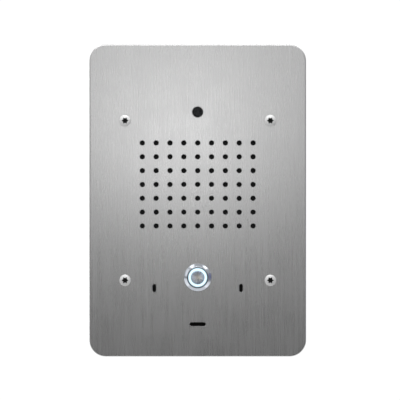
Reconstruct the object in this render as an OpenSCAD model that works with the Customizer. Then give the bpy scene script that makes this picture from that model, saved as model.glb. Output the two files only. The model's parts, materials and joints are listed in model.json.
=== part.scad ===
// Flush-mounting door intercom panel: a brushed steel face plate that carries a call button,
// a pinhole camera, a loudspeaker, a microphone, two indicators and the circuit board.
//
// Frame: X to the right as a visitor sees the panel, Z up, Y into the wall.
// The origin is the middle of the wall plane, where the rim gasket seats, and the front faces -Y.
// Outlines are drawn in (x, z) and made solid between two depths along Y.

/* [Face plate] */
// Width of the face plate
plate_w = 141; // [136:1:160]
// Height of the face plate
plate_h = 203; // [200:1:220]
// Thickness of the steel sheet
plate_t = 3; // [2.5:0.5:4]
// Radius of the plate's four corners
plate_corner_r = 10.7; // [6:0.1:14]
// Thickness of the rim gasket once it is compressed
gasket_t = 2; // [1.5:0.5:3]
// Width of the rim gasket's band
gasket_band = 9; // [6:0.5:10]

/* [Panel screws] */
// Distance between the screws across the panel
screw_span_x = 94.5; // [92:0.5:100]
// Distance between the screws up the panel
screw_span_z = 103.8; // [102:0.1:108]
// Thread radius of a panel screw
screw_r = 2; // [1.75:0.25:2]
// Radius of the countersunk head
screw_head_r = 3.7; // [3.5:0.1:4]
// Length of a panel screw below its flush face
screw_length = 18; // [14:1:20]

/* [Loudspeaker] */
// Columns of sound holes
grille_columns = 9; // [9:1:10]
// Rows of sound holes
grille_rows = 7; // [7:1:8]
// Distance between neighbouring sound holes
grille_pitch = 9; // [9:0.1:9.5]
// Radius of a sound hole
grille_hole_r = 1.65; // [1:0.05:2]
// Height of the loudspeaker's axis above the panel's centre
speaker_z = 10.4; // [10:0.1:11]
// How far the cone moves each way
cone_travel = 0.8; // [0.4:0.1:0.8]

/* [Camera] */
// Height of the camera hole above the panel's centre
camera_z = 57.5; // [57:0.5:58]
// Radius of the camera hole
camera_hole_r = 3.45; // [3:0.05:3.6]

/* [Call button] */
// Height of the call button, below the panel's centre
button_z = -50; // [-51:0.5:-49]
// Radius of the button's bezel
bezel_r = 8.95; // [8.8:0.05:9.5]
// Radius of the opening that the actuator moves in
bezel_bore_r = 6.6; // [6.5:0.1:6.8]
// Travel of the button
button_travel = 2; // [1:0.5:2]

/* [Indicators and microphone] */
// Distance of each indicator slot from the centre line
indicator_x = 28.2; // [26:0.1:30]
// Height of the indicator slots
indicator_z = -57; // [-58:0.5:-55]
// Width and height of an indicator slot
indicator_slot = [2.3, 5.3]; // [2:0.1:6]
// Height of the microphone slot
microphone_z = -80.4; // [-81:0.1:-79]
// Width and height of the microphone slot
microphone_slot = [10.5, 2.5]; // [2:0.1:11]

/* [Circuit board] */
// Thickness of the main board
board_t = 1.6; // [1.2:0.2:2]
// Half width of the board's wide upper part
board_half_w = 54; // [53:0.5:55]
// Half width of the board's narrow lower part
board_foot_half_w = 37; // [36:0.5:38]
// Top edge of the board
board_top = 41.5; // [40:0.5:42]
// Step between the wide part and the narrow part
board_step = -40; // [-41:0.5:-39]
// Bottom edge of the board
board_bottom = -74; // [-76:0.5:-73]

/* [Hidden] */
$fn = 64;

// Depths along Y. The wall plane is y = 0.
plate_back = -gasket_t;
plate_front = plate_back - plate_t;
board_front = 14;
board_back = board_front + board_t;

// Radial clearances: a screw in its tapped hole, a glued or pressed fit, and a moving fit
thread_gap = 0.03;
snug_gap = 0.02;
running_gap = 0.08;

// Captive panel screws: a waist runs in the retainer, and the thread starts behind it
waist_r = 1.6;
retainer_t = 1;
thread_start = plate_back + retainer_t + 0.4;

panel_screw_places = [for (sx = [-1, 1], sz = [-1, 1]) [sx * screw_span_x / 2, sz * screw_span_z / 2]];

// Loudspeaker: the sound chamber behind the grille, and the 57 mm driver
chamber = [(grille_columns - 1) * grille_pitch + 5, (grille_rows - 1) * grille_pitch + 5];
chamber_wall = 3;
carrier_front = -0.2;
carrier_floor = 3;
carrier_back = 5;
carrier_boss = [chamber[0] / 2 + 7.2, 16];
carrier_boss_r = 4.2;
carrier_places = [for (sx = [-1, 1], sz = [-1, 1]) [sx * carrier_boss[0], speaker_z + sz * carrier_boss[1]]];
driver_thread_r = 1.25;
stud_r = 1.5;
nut_af = 5.5;
nut_t = 2.4;
driver_screw_radius = 31.2;
driver_boss_r = 2.5;
driver_flange_t = 1;
driver_screw_places = [for (a = [45:90:315])
    [driver_screw_radius * cos(a), speaker_z + driver_screw_radius * sin(a)]];
driver_r = 28.4;
driver_opening_r = 26;
cone_r = 20.4;
surround_t = 0.6;
basket_front = carrier_back + surround_t;
basket_back = 16;
basket_base_r = 18;
coil_r = 7.3;
pole_r = 6.4;
magnet_r = 15.5;
top_plate_t = 2;
magnet_t = 6;
back_plate_t = 2.2;
top_plate_y = basket_back + 1;
magnet_y = top_plate_y + top_plate_t;
back_plate_y = magnet_y + magnet_t;

// Camera: a small enclosed module between two ears, tilting about an axis along X
camera_pivot_y = 5;
camera_body = [26, 26];
camera_front = 3;
camera_split = 15;
camera_back = 17.5;
camera_ear_x = 14.6;
camera_ear_t = 1;
camera_stud_x = 21.5;
camera_base_t = 1;
camera_stud_places = [for (s = [-1, 1]) [s * camera_stud_x, camera_z]];
pivot_shank_r = 1;
pivot_thread_r = 0.8;
camera_wall = 1.5;
window_r = 6;
window_t = 1;
lens_r = 2.9;
barrel_outer_r = 4.9;

// Call button: an anti-vandal switch with an M16 barrel
barrel_r = 7.95;
barrel_back = 10;
bezel_front = plate_front - 2.4;
seal_t = 0.5;
actuator_r = bezel_bore_r - running_gap;
ring_outer_r = 6.25;
ring_inner_r = 4.4;
cap_front = bezel_front - 0.5;
actuator_back = -2.5;
stem_r = 2.5;
stem_back = 6.2;
floor_front = 3;
floor_back = 4.5;
block_back = 17;
button_nut_af = 19;
ring_seat = -6;
cap_seat = -6.9;

// Main board features
speaker_cutout_r = 22;
button_cutout_r = 13.5;
standoff_places = concat(
    [for (sx = [-1, 1]) [sx * 50, 37.5]],
    [for (sx = [-1, 1]) [sx * 50, -36]],
    [for (sx = [-1, 1]) [sx * 33, -70]]
);
standoff_af = 5.5;
standoff_stud = 5;
trimmer_size = [9.5, 9.5, 4.8];
trimmer_back = board_back + trimmer_size[2];
trimmer_recess = 1.6;
trimmer_rotor_r = 3.2;
volume_place = [-46.5, 20];
gain_place = [-46.5, 7];
jack_size = [16, 16, 14];
jack_place = [44, -20];
jack_port = [11.8, 8.2];
jack_port_depth = 11;
terminal_pitch = 5.08;
terminal_poles = 6;
terminal_place = [-48.5, -17];
terminal_depth = 9;
terminal_height = 10.5;
relay_place = [0, -24];
switch_place = [50.2, 8];
switch_size = [6.4, 12.8, 6];
plunger_r = 1.4;
plunger_flange_r = 2.1;
plunger_tip_x = 57.4;
header_height = 7;
plug_height = 9.6;

// Lead connectors: [x, z, turn about Y, poles]
speaker_connector = [-28, -9, 90, 2];
camera_connector = [-27, 33, 90, 4];
button_connector = [26, -46, 90, 4];
microphone_connector = [-12, -69.5, 0, 2];
connectors = [speaker_connector, camera_connector, button_connector, microphone_connector];
pole_pitch = 2.5;
plug_back = board_back + plug_height;

// Solder tags, as offsets [x, z] from the axis of the switch and of the microphone
switch_tags = [[-3.5, 4.2], [3.5, 1.5], [3.5, -1.5], [-3.5, -4.2]];
switch_tag_back = 22;
capsule_r = 3;
capsule_back = 7.2;
membrane_size = [13, 5];
membrane_t = 0.25;
speaker_tag_back = basket_back + 4.6;
speaker_tag_radius = 18.1;
speaker_tag_spread = 2.6;

// Routes of the internal leads: each starts at its component and ends in its connector
speaker_lead_route = [
    [0, speaker_tag_back, speaker_z] - speaker_tag_radius * cos(45) * [1, 0, 1],
    [-13, 23, -2.6], [-16, 25, -4.5], [-20, 26.5, -6.6],
    [-24.5, 28, -8.2], [-27.4, 28, -8.9], [-28, 27, -9], [-28, 26.1, -9], [-28, plug_back, -9]
];
camera_lead_route = [
    [0, camera_back + 1.5 + snug_gap, camera_z], [0, 20.5, camera_z], [0, 22, camera_z], [-2, 25.6, 56],
    [-7, 28.6, 51], [-14, 30.5, 44], [-21, 31, 37.5], [-25.6, 30, 34], [-27, 28, 33], [-27, 26.6, 33],
    [-27, plug_back, 33]
];
button_lead_route = [
    [0, switch_tag_back, button_z], [0.2, 25, -50], [3.5, 28, -49.6], [10, 30, -48.2], [18, 30.4, -46.8],
    [24, 29.8, -46.1], [26, 28, -46], [26, 26.6, -46], [26, plug_back, -46]
];
microphone_lead_route = [
    [0, capsule_back, microphone_z], [0, 10, -80.6], [-1, 14.5, -81.2], [-3.4, 20, -80.6],
    [-7.6, 25.4, -77.4], [-11, 28.4, -73], [-12, 27.8, -70], [-12, plug_back, -69.5]
];

// --- Helpers ---------------------------------------------------------------------------------

// Makes an outline drawn in (x, z) solid from depth y0 to depth y1
module slab(y0, y1) {
    translate([0, y1, 0]) rotate([90, 0, 0]) linear_extrude(y1 - y0) children();
}

// A round bar along Y at [x, z]
module bar(place, y0, y1, r) {
    translate([place[0], y0, place[1]]) rotate([-90, 0, 0]) cylinder(r = r, h = y1 - y0);
}

// A cone along Y at [x, z], of radius r0 at y0 and r1 at y1
module taper(place, y0, y1, r0, r1) {
    translate([place[0], y0, place[1]]) rotate([-90, 0, 0]) cylinder(r1 = r0, r2 = r1, h = y1 - y0);
}

// Turns a profile drawn in (radius, y) about an axis along Y through [x, z]
module turned(place) {
    translate([place[0], 0, place[1]]) rotate([-90, 0, 0]) rotate_extrude() children();
}

// A rectangular block given by its centre [x, z], its size [w, h] and two depths
module block(place, size, y0, y1) {
    translate([place[0] - size[0] / 2, y0, place[1] - size[1] / 2]) cube([size[0], y1 - y0, size[1]]);
}

module rounded(size, r) {
    square([size[0] - 2 * r, size[1]], center = true);
    square([size[0], size[1] - 2 * r], center = true);
    for (sx = [-1, 1], sz = [-1, 1])
        translate([sx * (size[0] / 2 - r), sz * (size[1] / 2 - r)]) circle(r);
}

// A slot with round ends, longer along its larger side
module stadium(size) {
    long = max(size);
    r = min(size) / 2;
    turn = size[0] > size[1] ? 0 : 90;
    rotate(turn) {
        square([long - 2 * r, 2 * r], center = true);
        for (s = [-1, 1]) translate([s * (long / 2 - r), 0]) circle(r);
    }
}

module hexagon(af) {
    circle(r = af / 2 / cos(30), $fn = 6);
}

// A flat ring between two radii
module ring(place, y0, y1, inner_r, outer_r) difference() {
    bar(place, y0, y1, outer_r);
    bar(place, y0 - 1, y1 + 1, inner_r);
}

// A hexagon nut with its bore
module nut(place, y, af, height, bore_r) difference() {
    slab(y, y + height) translate(place) hexagon(af);
    bar(place, y - 1, y + height + 1, bore_r);
}

// Six-lobed driver recess, tip to tip over "across"
module six_lobe(across) {
    flute_r = 0.22 * across;
    flute_place = 0.352 * across + flute_r;
    difference() {
        circle(across / 2);
        for (i = [0:5]) rotate(60 * i + 30) translate([flute_place, 0]) circle(flute_r);
    }
}

// A point of a dished profile: "part" runs from 0 on the axis to 1 at radius r
function dish(r, depth, y, part) = [r * part, y + depth * pow(part, 2)];

function unit(v) = v / norm(v);

// A point on the Catmull-Rom curve between b and c, with a and d as its neighbours
function curve_point(a, b, c, d, t) =
    0.5 * (2 * b + (c - a) * t + (2 * a - 5 * b + 4 * c - d) * t * t
    + (3 * b - a - 3 * c + d) * t * t * t);

function smooth(route, steps) = let (last = len(route) - 1) concat(
    [for (i = [0:last - 1], k = [0:steps - 1]) curve_point(
        route[max(i - 1, 0)], route[i], route[i + 1], route[min(i + 2, last)], k / steps)],
    [route[last]]
);

// Sweeps a round section of radius r along a list of points. "side" is never along the path.
module sweep(path, r, sides, side) {
    last = len(path) - 1;
    rings = [for (i = [0:last])
        let (
            along = unit(path[min(i + 1, last)] - path[max(i - 1, 0)]),
            across = unit(cross(side, along)),
            up = cross(along, across)
        )
        for (k = [0:sides - 1]) path[i] + r * (across * cos(360 * k / sides) + up * sin(360 * k / sides))
    ];
    walls = [for (i = [0:last - 1], k = [0:sides - 1])
        let (a = i * sides + k, b = i * sides + (k + 1) % sides)
        each [[a, a + sides, b], [b, a + sides, b + sides]]
    ];
    caps = [[for (k = [0:sides - 1]) k], [for (k = [sides - 1:-1:0]) last * sides + k]];
    polyhedron(rings, concat(walls, caps), convexity = 6);
}

// Runs smoothly from 0 to 1 as t does, and stays level outside
function ease(t) = let (part = min(max(t, 0), 1)) part * part * (3 - 2 * part);

// A lead whose wires keep to one route, offset by "starts" at its component and by "ends" at its plug
module lead(route, starts, ends, wire_r, side) {
    steps = 4;
    path = smooth(route, steps);
    last = len(path) - 1;
    for (w = [0:len(starts) - 1]) sweep(
        [for (i = [0:last])
            let (part = ease((i - steps) / (last - 2 * steps)))
            path[i] + (1 - part) * starts[w] + part * ends[w]
        ],
        wire_r, 8, side
    );
}

// Offsets of a plug's poles, along "way"
function poles(count, way) = [for (p = [0:count - 1]) way * pole_pitch * ((count - 1) / 2 - p)];

// --- Face plate and its fixings --------------------------------------------------------------

module grille_places() {
    for (column = [0:grille_columns - 1], row = [0:grille_rows - 1])
        translate([
            (column - (grille_columns - 1) / 2) * grille_pitch,
            speaker_z + (row - (grille_rows - 1) / 2) * grille_pitch
        ]) children();
}

module face_plate() color("silver") {
    hole_r = screw_r + 0.1;
    sink_r = screw_head_r + thread_gap;
    difference() {
        slab(plate_front, plate_back) difference() {
            rounded([plate_w, plate_h], plate_corner_r);
            grille_places() circle(grille_hole_r);
            for (sx = [-1, 1]) translate([sx * indicator_x, indicator_z]) stadium(indicator_slot);
            translate([0, microphone_z]) stadium(microphone_slot);
            translate([0, camera_z]) circle(camera_hole_r);
            translate([0, button_z]) circle(barrel_r + 0.15);
        }
        for (place = panel_screw_places) {
            bar(place, plate_front - 1, plate_back + 1, hole_r);
            taper(place, plate_front - 1, plate_front + sink_r - screw_r, sink_r + 1, screw_r);
        }
    }
}

module rim_gasket() color([0.1, 0.1, 0.11]) {
    inset = 1.5;
    inner_corner_r = 4;
    slab(plate_back, 0) difference() {
        rounded([plate_w - 2 * inset, plate_h - 2 * inset], plate_corner_r - inset);
        rounded([plate_w - 2 * (inset + gasket_band), plate_h - 2 * (inset + gasket_band)], inner_corner_r);
    }
}

// Raised countersunk screw with a six-lobed recess and a waist below the head
module panel_screws() color([0.75, 0.75, 0.76]) {
    dome = 0.35;
    chamfer = 0.4;
    recess = 4.1;
    recess_depth = 1.7;
    back = plate_front + screw_length;
    for (place = panel_screw_places) difference() {
        turned(place) polygon(concat(
            [for (i = [0:6]) [screw_head_r * i / 6, plate_front - dome * (1 - pow(i / 6, 2))]],
            [
                [waist_r, plate_front + screw_head_r - waist_r], [waist_r, thread_start],
                [screw_r, thread_start + chamfer], [screw_r, back - chamfer],
                [screw_r - chamfer, back], [0, back]
            ]
        ));
        slab(plate_front - 1, plate_front - dome + recess_depth) translate(place) six_lobe(recess);
    }
}

// Nylon washers that run on the screws' waists and keep the undone screws in the plate
module screw_retainers() color("white")
    for (place = panel_screw_places)
        ring(place, plate_back, plate_back + retainer_t, waist_r + running_gap, 4.4);

// Weld studs for the loudspeaker's carrier, the camera's bracket and the board's standoffs
module weld_studs() color([0.72, 0.5, 0.35]) {
    spare = 1.4;
    for (place = carrier_places) bar(place, plate_back, carrier_back + nut_t + spare, stud_r);
    for (place = camera_stud_places)
        bar(place, plate_back, plate_back + camera_base_t + nut_t + spare, stud_r);
    for (place = standoff_places) bar(place, plate_back, plate_back + standoff_stud, stud_r);
}

module stud_nuts() color("silver") {
    for (place = carrier_places) nut(place, carrier_back, nut_af, nut_t, stud_r + thread_gap);
    for (place = camera_stud_places)
        nut(place, plate_back + camera_base_t, nut_af, nut_t, stud_r + thread_gap);
}

// --- Loudspeaker -----------------------------------------------------------------------------

module speaker_mesh() color([0.12, 0.12, 0.13])
    slab(plate_back, plate_back + 0.3)
        translate([0, speaker_z]) rounded(chamber - [0.6, 0.6], 2);

module speaker_gasket() color([0.15, 0.15, 0.16])
    slab(plate_back, carrier_front) translate([0, speaker_z]) difference() {
        rounded(chamber + 2 * [chamber_wall, chamber_wall], 4);
        rounded(chamber, 2);
    }

// Moulded tray that makes the sound chamber and holds the driver
module speaker_carrier() color([0.16, 0.16, 0.17]) {
    outer = chamber + 2 * [chamber_wall, chamber_wall];
    web = [7, 6];
    difference() {
        union() {
            slab(carrier_front, carrier_back) translate([0, speaker_z]) rounded(outer, 4);
            for (place = carrier_places) {
                bar(place, plate_back, carrier_back, carrier_boss_r);
                block([sign(place[0]) * (outer[0] / 2 + 1), place[1]], web, carrier_front, carrier_back);
            }
            for (place = driver_screw_places)
                bar(place, carrier_back, basket_front + driver_flange_t, driver_boss_r);
        }
        slab(carrier_front - 1, carrier_floor)
            translate([0, speaker_z]) rounded(chamber + [1, 1], 2.5);
        bar([0, speaker_z], 0, carrier_back + 1, driver_opening_r);
        for (place = carrier_places) bar(place, plate_back - 1, carrier_back + 1, stud_r + 0.15);
        for (place = driver_screw_places)
            bar(place, carrier_floor + 0.8, carrier_back + 3, driver_thread_r + thread_gap);
    }
}

module driver_screws() color([0.72, 0.73, 0.74]) {
    washer_r = 4.2;
    washer_t = 0.7;
    head_r = 2.4;
    head_t = 1.6;
    seat = basket_front + driver_flange_t;
    for (place = driver_screw_places) difference() {
        turned(place) polygon([
            [0, carrier_floor + 1], [driver_thread_r, carrier_floor + 1], [driver_thread_r, seat],
            [washer_r, seat], [washer_r, seat + washer_t], [head_r, seat + washer_t],
            [head_r, seat + head_t], [head_r - 0.8, seat + washer_t + head_t], [0, seat + washer_t + head_t]
        ]);
        cross_recess(place, seat + washer_t + head_t, 2.8, 1.1);
    }
}

// Pressed steel basket with four windows in its wall
module speaker_basket() color([0.55, 0.56, 0.58]) {
    wall = 0.8;
    throat_r = 24.6;
    window = [40, 5.4, 15];
    flange_back = basket_front + driver_flange_t;
    difference() {
        turned([0, speaker_z]) polygon([
            [throat_r, basket_front], [driver_r, basket_front], [driver_r, flange_back],
            [throat_r + wall, flange_back], [basket_base_r, basket_back - 0.6],
            [basket_base_r, top_plate_y], [coil_r + 1.4, top_plate_y],
            [coil_r + 1.4, basket_back], [basket_base_r - wall, basket_back],
            [basket_base_r - wall, basket_back - 0.9], [throat_r, flange_back]
        ]);
        for (turn = [45:90:315]) translate([0, 0, speaker_z]) rotate([0, turn, 0])
            translate([0, flange_back + 1.6, -window[2] / 2]) cube(window);
    }
}

// Front pole plate, back plate and pole piece
module speaker_pole_plates() color([0.62, 0.63, 0.65]) {
    turned([0, speaker_z]) polygon([
        [coil_r + 0.9, top_plate_y], [magnet_r - 0.6, top_plate_y],
        [magnet_r - 0.6, magnet_y], [coil_r + 0.9, magnet_y]
    ]);
    turned([0, speaker_z]) polygon([
        [0, top_plate_y], [pole_r, top_plate_y], [pole_r, back_plate_y], [magnet_r - 0.6, back_plate_y],
        [magnet_r - 0.6, back_plate_y + back_plate_t - 0.4],
        [magnet_r - 1, back_plate_y + back_plate_t], [0, back_plate_y + back_plate_t]
    ]);
}

module speaker_magnet() color([0.2, 0.2, 0.21])
    turned([0, speaker_z]) polygon([
        [coil_r + 1.7, magnet_y], [magnet_r, magnet_y], [magnet_r, back_plate_y], [coil_r + 1.7, back_plate_y]
    ]);

// Rubber half roll between the cone's edge and the basket
module speaker_surround() color([0.1, 0.1, 0.1]) {
    roll_r = 2.05;
    roll_centre = 22.55;
    front = carrier_back;
    turned([0, speaker_z]) polygon(concat(
        [[driver_r, front], [driver_r, basket_front], [roll_centre + roll_r - surround_t / 2, basket_front]],
        [for (a = [0:15:180]) [
            roll_centre + (roll_r - surround_t / 2) * cos(a),
            basket_front - (roll_r - surround_t / 2) * sin(a)
        ]],
        [
            [cone_r - 1.4, basket_front], [cone_r - 1.4, front],
            [roll_centre - roll_r - surround_t / 2, front]
        ],
        [for (a = [165:-15:15]) [
            roll_centre + (roll_r + surround_t / 2) * cos(a),
            basket_front - (roll_r + surround_t / 2) * sin(a)
        ]],
        [[roll_centre + roll_r + surround_t / 2, front]]
    ));
}

// Corrugated spider that centres the voice coil
module speaker_spider() color([0.75, 0.62, 0.35]) {
    t = 0.35;
    y = 14.4;
    steps = 24;
    waves = 4;
    wave = 0.35;
    inner = coil_r + snug_gap;
    outer = 15.6;
    face = [for (i = [0:steps])
        [inner + (outer - inner) * i / steps, y + wave * sin(360 * waves * i / steps)]
    ];
    turned([0, speaker_z]) polygon(concat(
        face,
        [[outer + 1, y], [outer + 1, basket_back], [outer, basket_back]],
        [for (i = [steps:-1:0]) face[i] + [0, t]]
    ));
}

// Cone with its dust cap and rim
module speaker_cone() color([0.14, 0.13, 0.12]) {
    rim_y = basket_front;
    t = 0.5;
    neck_y = 13.2;
    cap_y = 9.6;
    turned([0, speaker_z]) polygon(concat(
        [for (i = [0:8]) dish(coil_r - 0.4, 2.4, cap_y, i / 8)],
        [[coil_r, neck_y - 0.9], [cone_r - 1.4, rim_y], [cone_r, rim_y], [cone_r, rim_y + t],
        [cone_r - 1.2, rim_y + t], [coil_r, neck_y + t]],
        [[coil_r - 0.4, neck_y + t]],
        [for (i = [8:-1:0]) dish(coil_r - 0.4, 2.4, cap_y + t, i / 8)]
    ));
}

// Voice coil former with its winding, which reaches past the magnet's gap by the cone's travel
module speaker_voice_coil() color([0.72, 0.45, 0.2])
    turned([0, speaker_z]) polygon([
        [coil_r - 0.35, 13.7], [coil_r, 13.7], [coil_r, top_plate_y - cone_travel],
        [coil_r + 0.5, top_plate_y - cone_travel], [coil_r + 0.5, magnet_y + cone_travel],
        [coil_r - 0.35, magnet_y + cone_travel]
    ]);

// Tag strip on the basket
module speaker_terminals() color([0.45, 0.26, 0.12]) {
    strip = [5, 1, 9];
    tag = [0.6, 2.6, 1.8];
    translate([0, top_plate_y, speaker_z]) rotate([0, -45, 0]) {
        translate([-20.4, 0, -strip[2] / 2]) cube(strip);
        for (s = [-1, 1])
            translate([-speaker_tag_radius - tag[0] / 2, strip[1], s * speaker_tag_spread - tag[2] / 2])
                cube(tag);
    }
}

module speaker_lead() color("darkred") {
    half = speaker_tag_spread * cos(45);
    lead(speaker_lead_route, [[-half, 0, half], [half, 0, -half]], poles(2, [0, 0, 1]),
        0.6, [0.1, 0.1, 1]);
}

// --- Camera ----------------------------------------------------------------------------------

module camera_window() color([0.75, 0.8, 0.85, 0.5])
    bar([0, camera_z], plate_back, plate_back + window_t, window_r);

// Folded steel bracket: a base on the plate and two ears
module camera_bracket() color([0.72, 0.73, 0.74]) {
    base = [52, 14];
    base_back = plate_back + camera_base_t;
    ear_back = 9.5;
    ear_h = 10;
    difference() {
        union() {
            slab(plate_back, base_back) translate([0, camera_z]) rounded(base, 2);
            for (s = [-1, 1])
                block([s * (camera_ear_x + camera_ear_t / 2), camera_z], [camera_ear_t, ear_h],
                    plate_back, ear_back);
        }
        bar([0, camera_z], plate_back - 1, base_back + 1, window_r + 0.1);
        for (place = camera_stud_places) bar(place, plate_back - 1, base_back + 1, stud_r + 0.1);
        for (s = [-1, 1]) pivot_bar(s, camera_ear_x - 1, camera_ear_x + 3, pivot_shank_r + running_gap);
    }
}

// A round bar on the tilt axis, on the side s, between two distances from the middle
module pivot_bar(s, x0, x1, r)
    translate([s * x0, camera_pivot_y, camera_z]) rotate([0, 90 * s, 0]) cylinder(r = r, h = x1 - x0);

// Front shell of the camera module, open at the back, with a boss inside for each pivot screw
module camera_housing() color([0.13, 0.13, 0.14]) {
    nose_r = 6.6;
    nose_t = 1.4;
    side_x = camera_body[0] / 2;
    boss_r = 1.9;
    boss_x = side_x - camera_wall - 2;
    difference() {
        union() {
            difference() {
                union() {
                    slab(camera_front, camera_split) translate([0, camera_z]) rounded(camera_body, 2);
                    taper([0, camera_z], camera_front - nose_t, camera_front, nose_r - nose_t, nose_r);
                }
                slab(camera_front + camera_wall, camera_split + 1)
                    translate([0, camera_z]) rounded(camera_body - 2 * [camera_wall, camera_wall], 1);
            }
            for (s = [-1, 1]) pivot_bar(s, boss_x, side_x - camera_wall, boss_r);
        }
        bar([0, camera_z], 0, camera_front + 3, barrel_outer_r + thread_gap);
        for (s = [-1, 1]) pivot_bar(s, boss_x - 1, side_x + 1, pivot_thread_r + thread_gap);
    }
}

// Rear cover of the camera module with the lead's strain relief
module camera_back_cover() color([0.16, 0.16, 0.17]) {
    slab(camera_split, camera_back) translate([0, camera_z]) rounded(camera_body, 2);
    taper([0, camera_z], camera_back, camera_back + 1.5, 3, 2.4);
}

// Threaded lens barrel, open at the front
module camera_lens_barrel() color([0.08, 0.08, 0.09]) {
    front = 0.5;
    shoulder = 2.2;
    back = 10.5;
    lip = 0.5;
    turned([0, camera_z]) polygon([
        [lens_r, front], [lens_r + lip, front], [barrel_outer_r, shoulder], [barrel_outer_r, back],
        [lens_r + 0.1, back], [lens_r + 0.1, shoulder], [lens_r, shoulder]
    ]);
}

// Front lens element: flat behind, domed in front
module camera_lens() color([0.2, 0.22, 0.3, 0.7]) {
    front = 0.35;
    back = 2.1;
    r = lens_r - snug_gap;
    turned([0, camera_z]) polygon(concat([for (i = [0:8]) dish(r, 1, front, i / 8)], [[r, back], [0, back]]));
}

module camera_sensor_board() color([0.05, 0.32, 0.16]) {
    side = camera_body[0] - 2 * camera_wall - 0.8;
    block([0, camera_z], [side, side], 12.6, 13.8);
    block([0, camera_z], [7, 7], 11.4, 12.6);
}

// Slotted shoulder screws that the module tilts on
module camera_pivot_screws() color([0.7, 0.7, 0.72]) {
    head_x = camera_ear_x + camera_ear_t + 0.1;
    head_t = 1.3;
    shank_x = camera_body[0] / 2;
    tip_x = shank_x - camera_wall - 1.8;
    slot = [1, 6, 0.6];
    for (s = [-1, 1]) difference() {
        union() {
            pivot_bar(s, head_x, head_x + head_t, 2);
            pivot_bar(s, shank_x, head_x, pivot_shank_r);
            pivot_bar(s, tip_x, shank_x, pivot_thread_r);
        }
        translate([s * (head_x + head_t), camera_pivot_y, camera_z]) cube(slot, center = true);
    }
}

module camera_lead() color([0.1, 0.1, 0.1])
    sweep(smooth(camera_lead_route, 4), 1.5, 10, [1, 0.1, 0]);

// --- Call button -----------------------------------------------------------------------------

// Bezel and threaded barrel in one piece
module button_housing() color([0.8, 0.8, 0.82]) {
    seat = plate_front - seal_t;
    chamfer = 0.9;
    guide_r = stem_r + running_gap;
    turned([0, button_z]) polygon([
        [bezel_bore_r, bezel_front + 0.25], [bezel_bore_r + 0.25, bezel_front],
        [bezel_r - 1.3, bezel_front], [bezel_r, bezel_front + chamfer], [bezel_r, seat],
        [barrel_r, seat], [barrel_r, barrel_back], [barrel_r - 1.1, barrel_back],
        [barrel_r - 1.1, floor_back], [guide_r, floor_back], [guide_r, floor_front],
        [bezel_bore_r, floor_front]
    ]);
}

module button_seal() color([0.1, 0.1, 0.1])
    ring([0, button_z], plate_front - seal_t, plate_front, barrel_r + 0.1, bezel_r - 0.2);

module button_washer() color([0.7, 0.7, 0.72])
    ring([0, button_z], plate_back, plate_back + 0.8, barrel_r + 0.15, 10.6);

module button_nut() color([0.75, 0.75, 0.77])
    nut([0, button_z], plate_back + 0.8, button_nut_af, 3, barrel_r + thread_gap);

// Moving carrier of the cap and the light ring, with its stem and the clip's groove
module button_actuator() color([0.7, 0.7, 0.72]) {
    groove = 0.9;
    turned([0, button_z]) polygon([
        [0, cap_seat], [ring_inner_r, cap_seat], [ring_inner_r, ring_seat],
        [ring_outer_r, ring_seat], [ring_outer_r, cap_front + 0.3], [actuator_r, cap_front + 0.3],
        [actuator_r, actuator_back], [stem_r, actuator_back], [stem_r, floor_back + 0.05],
        [stem_r - groove, floor_back + 0.05], [stem_r - groove, floor_back + 0.75],
        [stem_r, floor_back + 0.75], [stem_r, stem_back], [0, stem_back]
    ]);
}

module button_light_ring() color([0.85, 0.95, 1])
    ring([0, button_z], cap_front + 0.15, ring_seat, ring_inner_r, ring_outer_r);

// Cap with a slightly dished face
module button_cap() color([0.7, 0.7, 0.72]) {
    edge = 0.3;
    r = ring_inner_r - snug_gap;
    turned([0, button_z]) polygon(concat(
        [for (i = [0:6]) [(r - edge) * i / 6, cap_front + 0.22 * (1 - pow(i / 6, 2))]],
        [[r, cap_front + edge], [r, cap_seat], [0, cap_seat]]
    ));
}

// Clip in the stem's groove, which stops against the housing's floor
module button_retaining_clip() color([0.5, 0.5, 0.52]) {
    slot = 2.4;
    difference() {
        ring([0, button_z], floor_back + 0.1, floor_back + 0.7, stem_r - 0.85, 4.2);
        block([0, button_z - 3], [slot, 6], floor_back - 1, floor_back + 2);
    }
}

// Return spring between the actuator and the housing's floor
module button_spring() color([0.6, 0.6, 0.62]) {
    wire_r = 0.32;
    coil = 4.4;
    turns = 4.5;
    steps_per_turn = 16;
    first = actuator_back + wire_r + 0.02;
    last = floor_front - wire_r - 0.02;
    steps = turns * steps_per_turn;
    sweep(
        [for (i = [0:steps]) [
            coil * cos(360 * i / steps_per_turn),
            first + (last - first) * i / steps,
            button_z + coil * sin(360 * i / steps_per_turn)
        ]],
        wire_r, 6, [0, 1, 0]
    );
}

// Insulating block with the contacts, pressed into the barrel
module button_contact_block() color([0.12, 0.12, 0.13]) {
    inner_r = barrel_r - 1.1 - snug_gap;
    outer_r = barrel_r - 0.1;
    nose = 8;
    pocket = stem_back + button_travel + 1.4;
    turned([0, button_z]) polygon([
        [0, pocket], [stem_r + 0.5, pocket], [stem_r + 0.5, nose], [inner_r, nose],
        [inner_r, barrel_back], [outer_r, barrel_back], [outer_r, block_back - 0.6],
        [outer_r - 0.6, block_back], [0, block_back]
    ]);
}

// Solder tags of the switch and of its ring light
module button_terminals() color([0.82, 0.72, 0.4])
    for (tag = switch_tags) block([tag[0], button_z + tag[1]], [2, 0.5], block_back, switch_tag_back);

module button_lead() color([0.2, 0.2, 0.5])
    lead(button_lead_route, [for (tag = switch_tags) [tag[0], 0, tag[1]]], poles(4, [0, 0, 1]),
        0.6, [0.1, 0.1, 1]);

// --- Indicators and microphone ---------------------------------------------------------------

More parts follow.
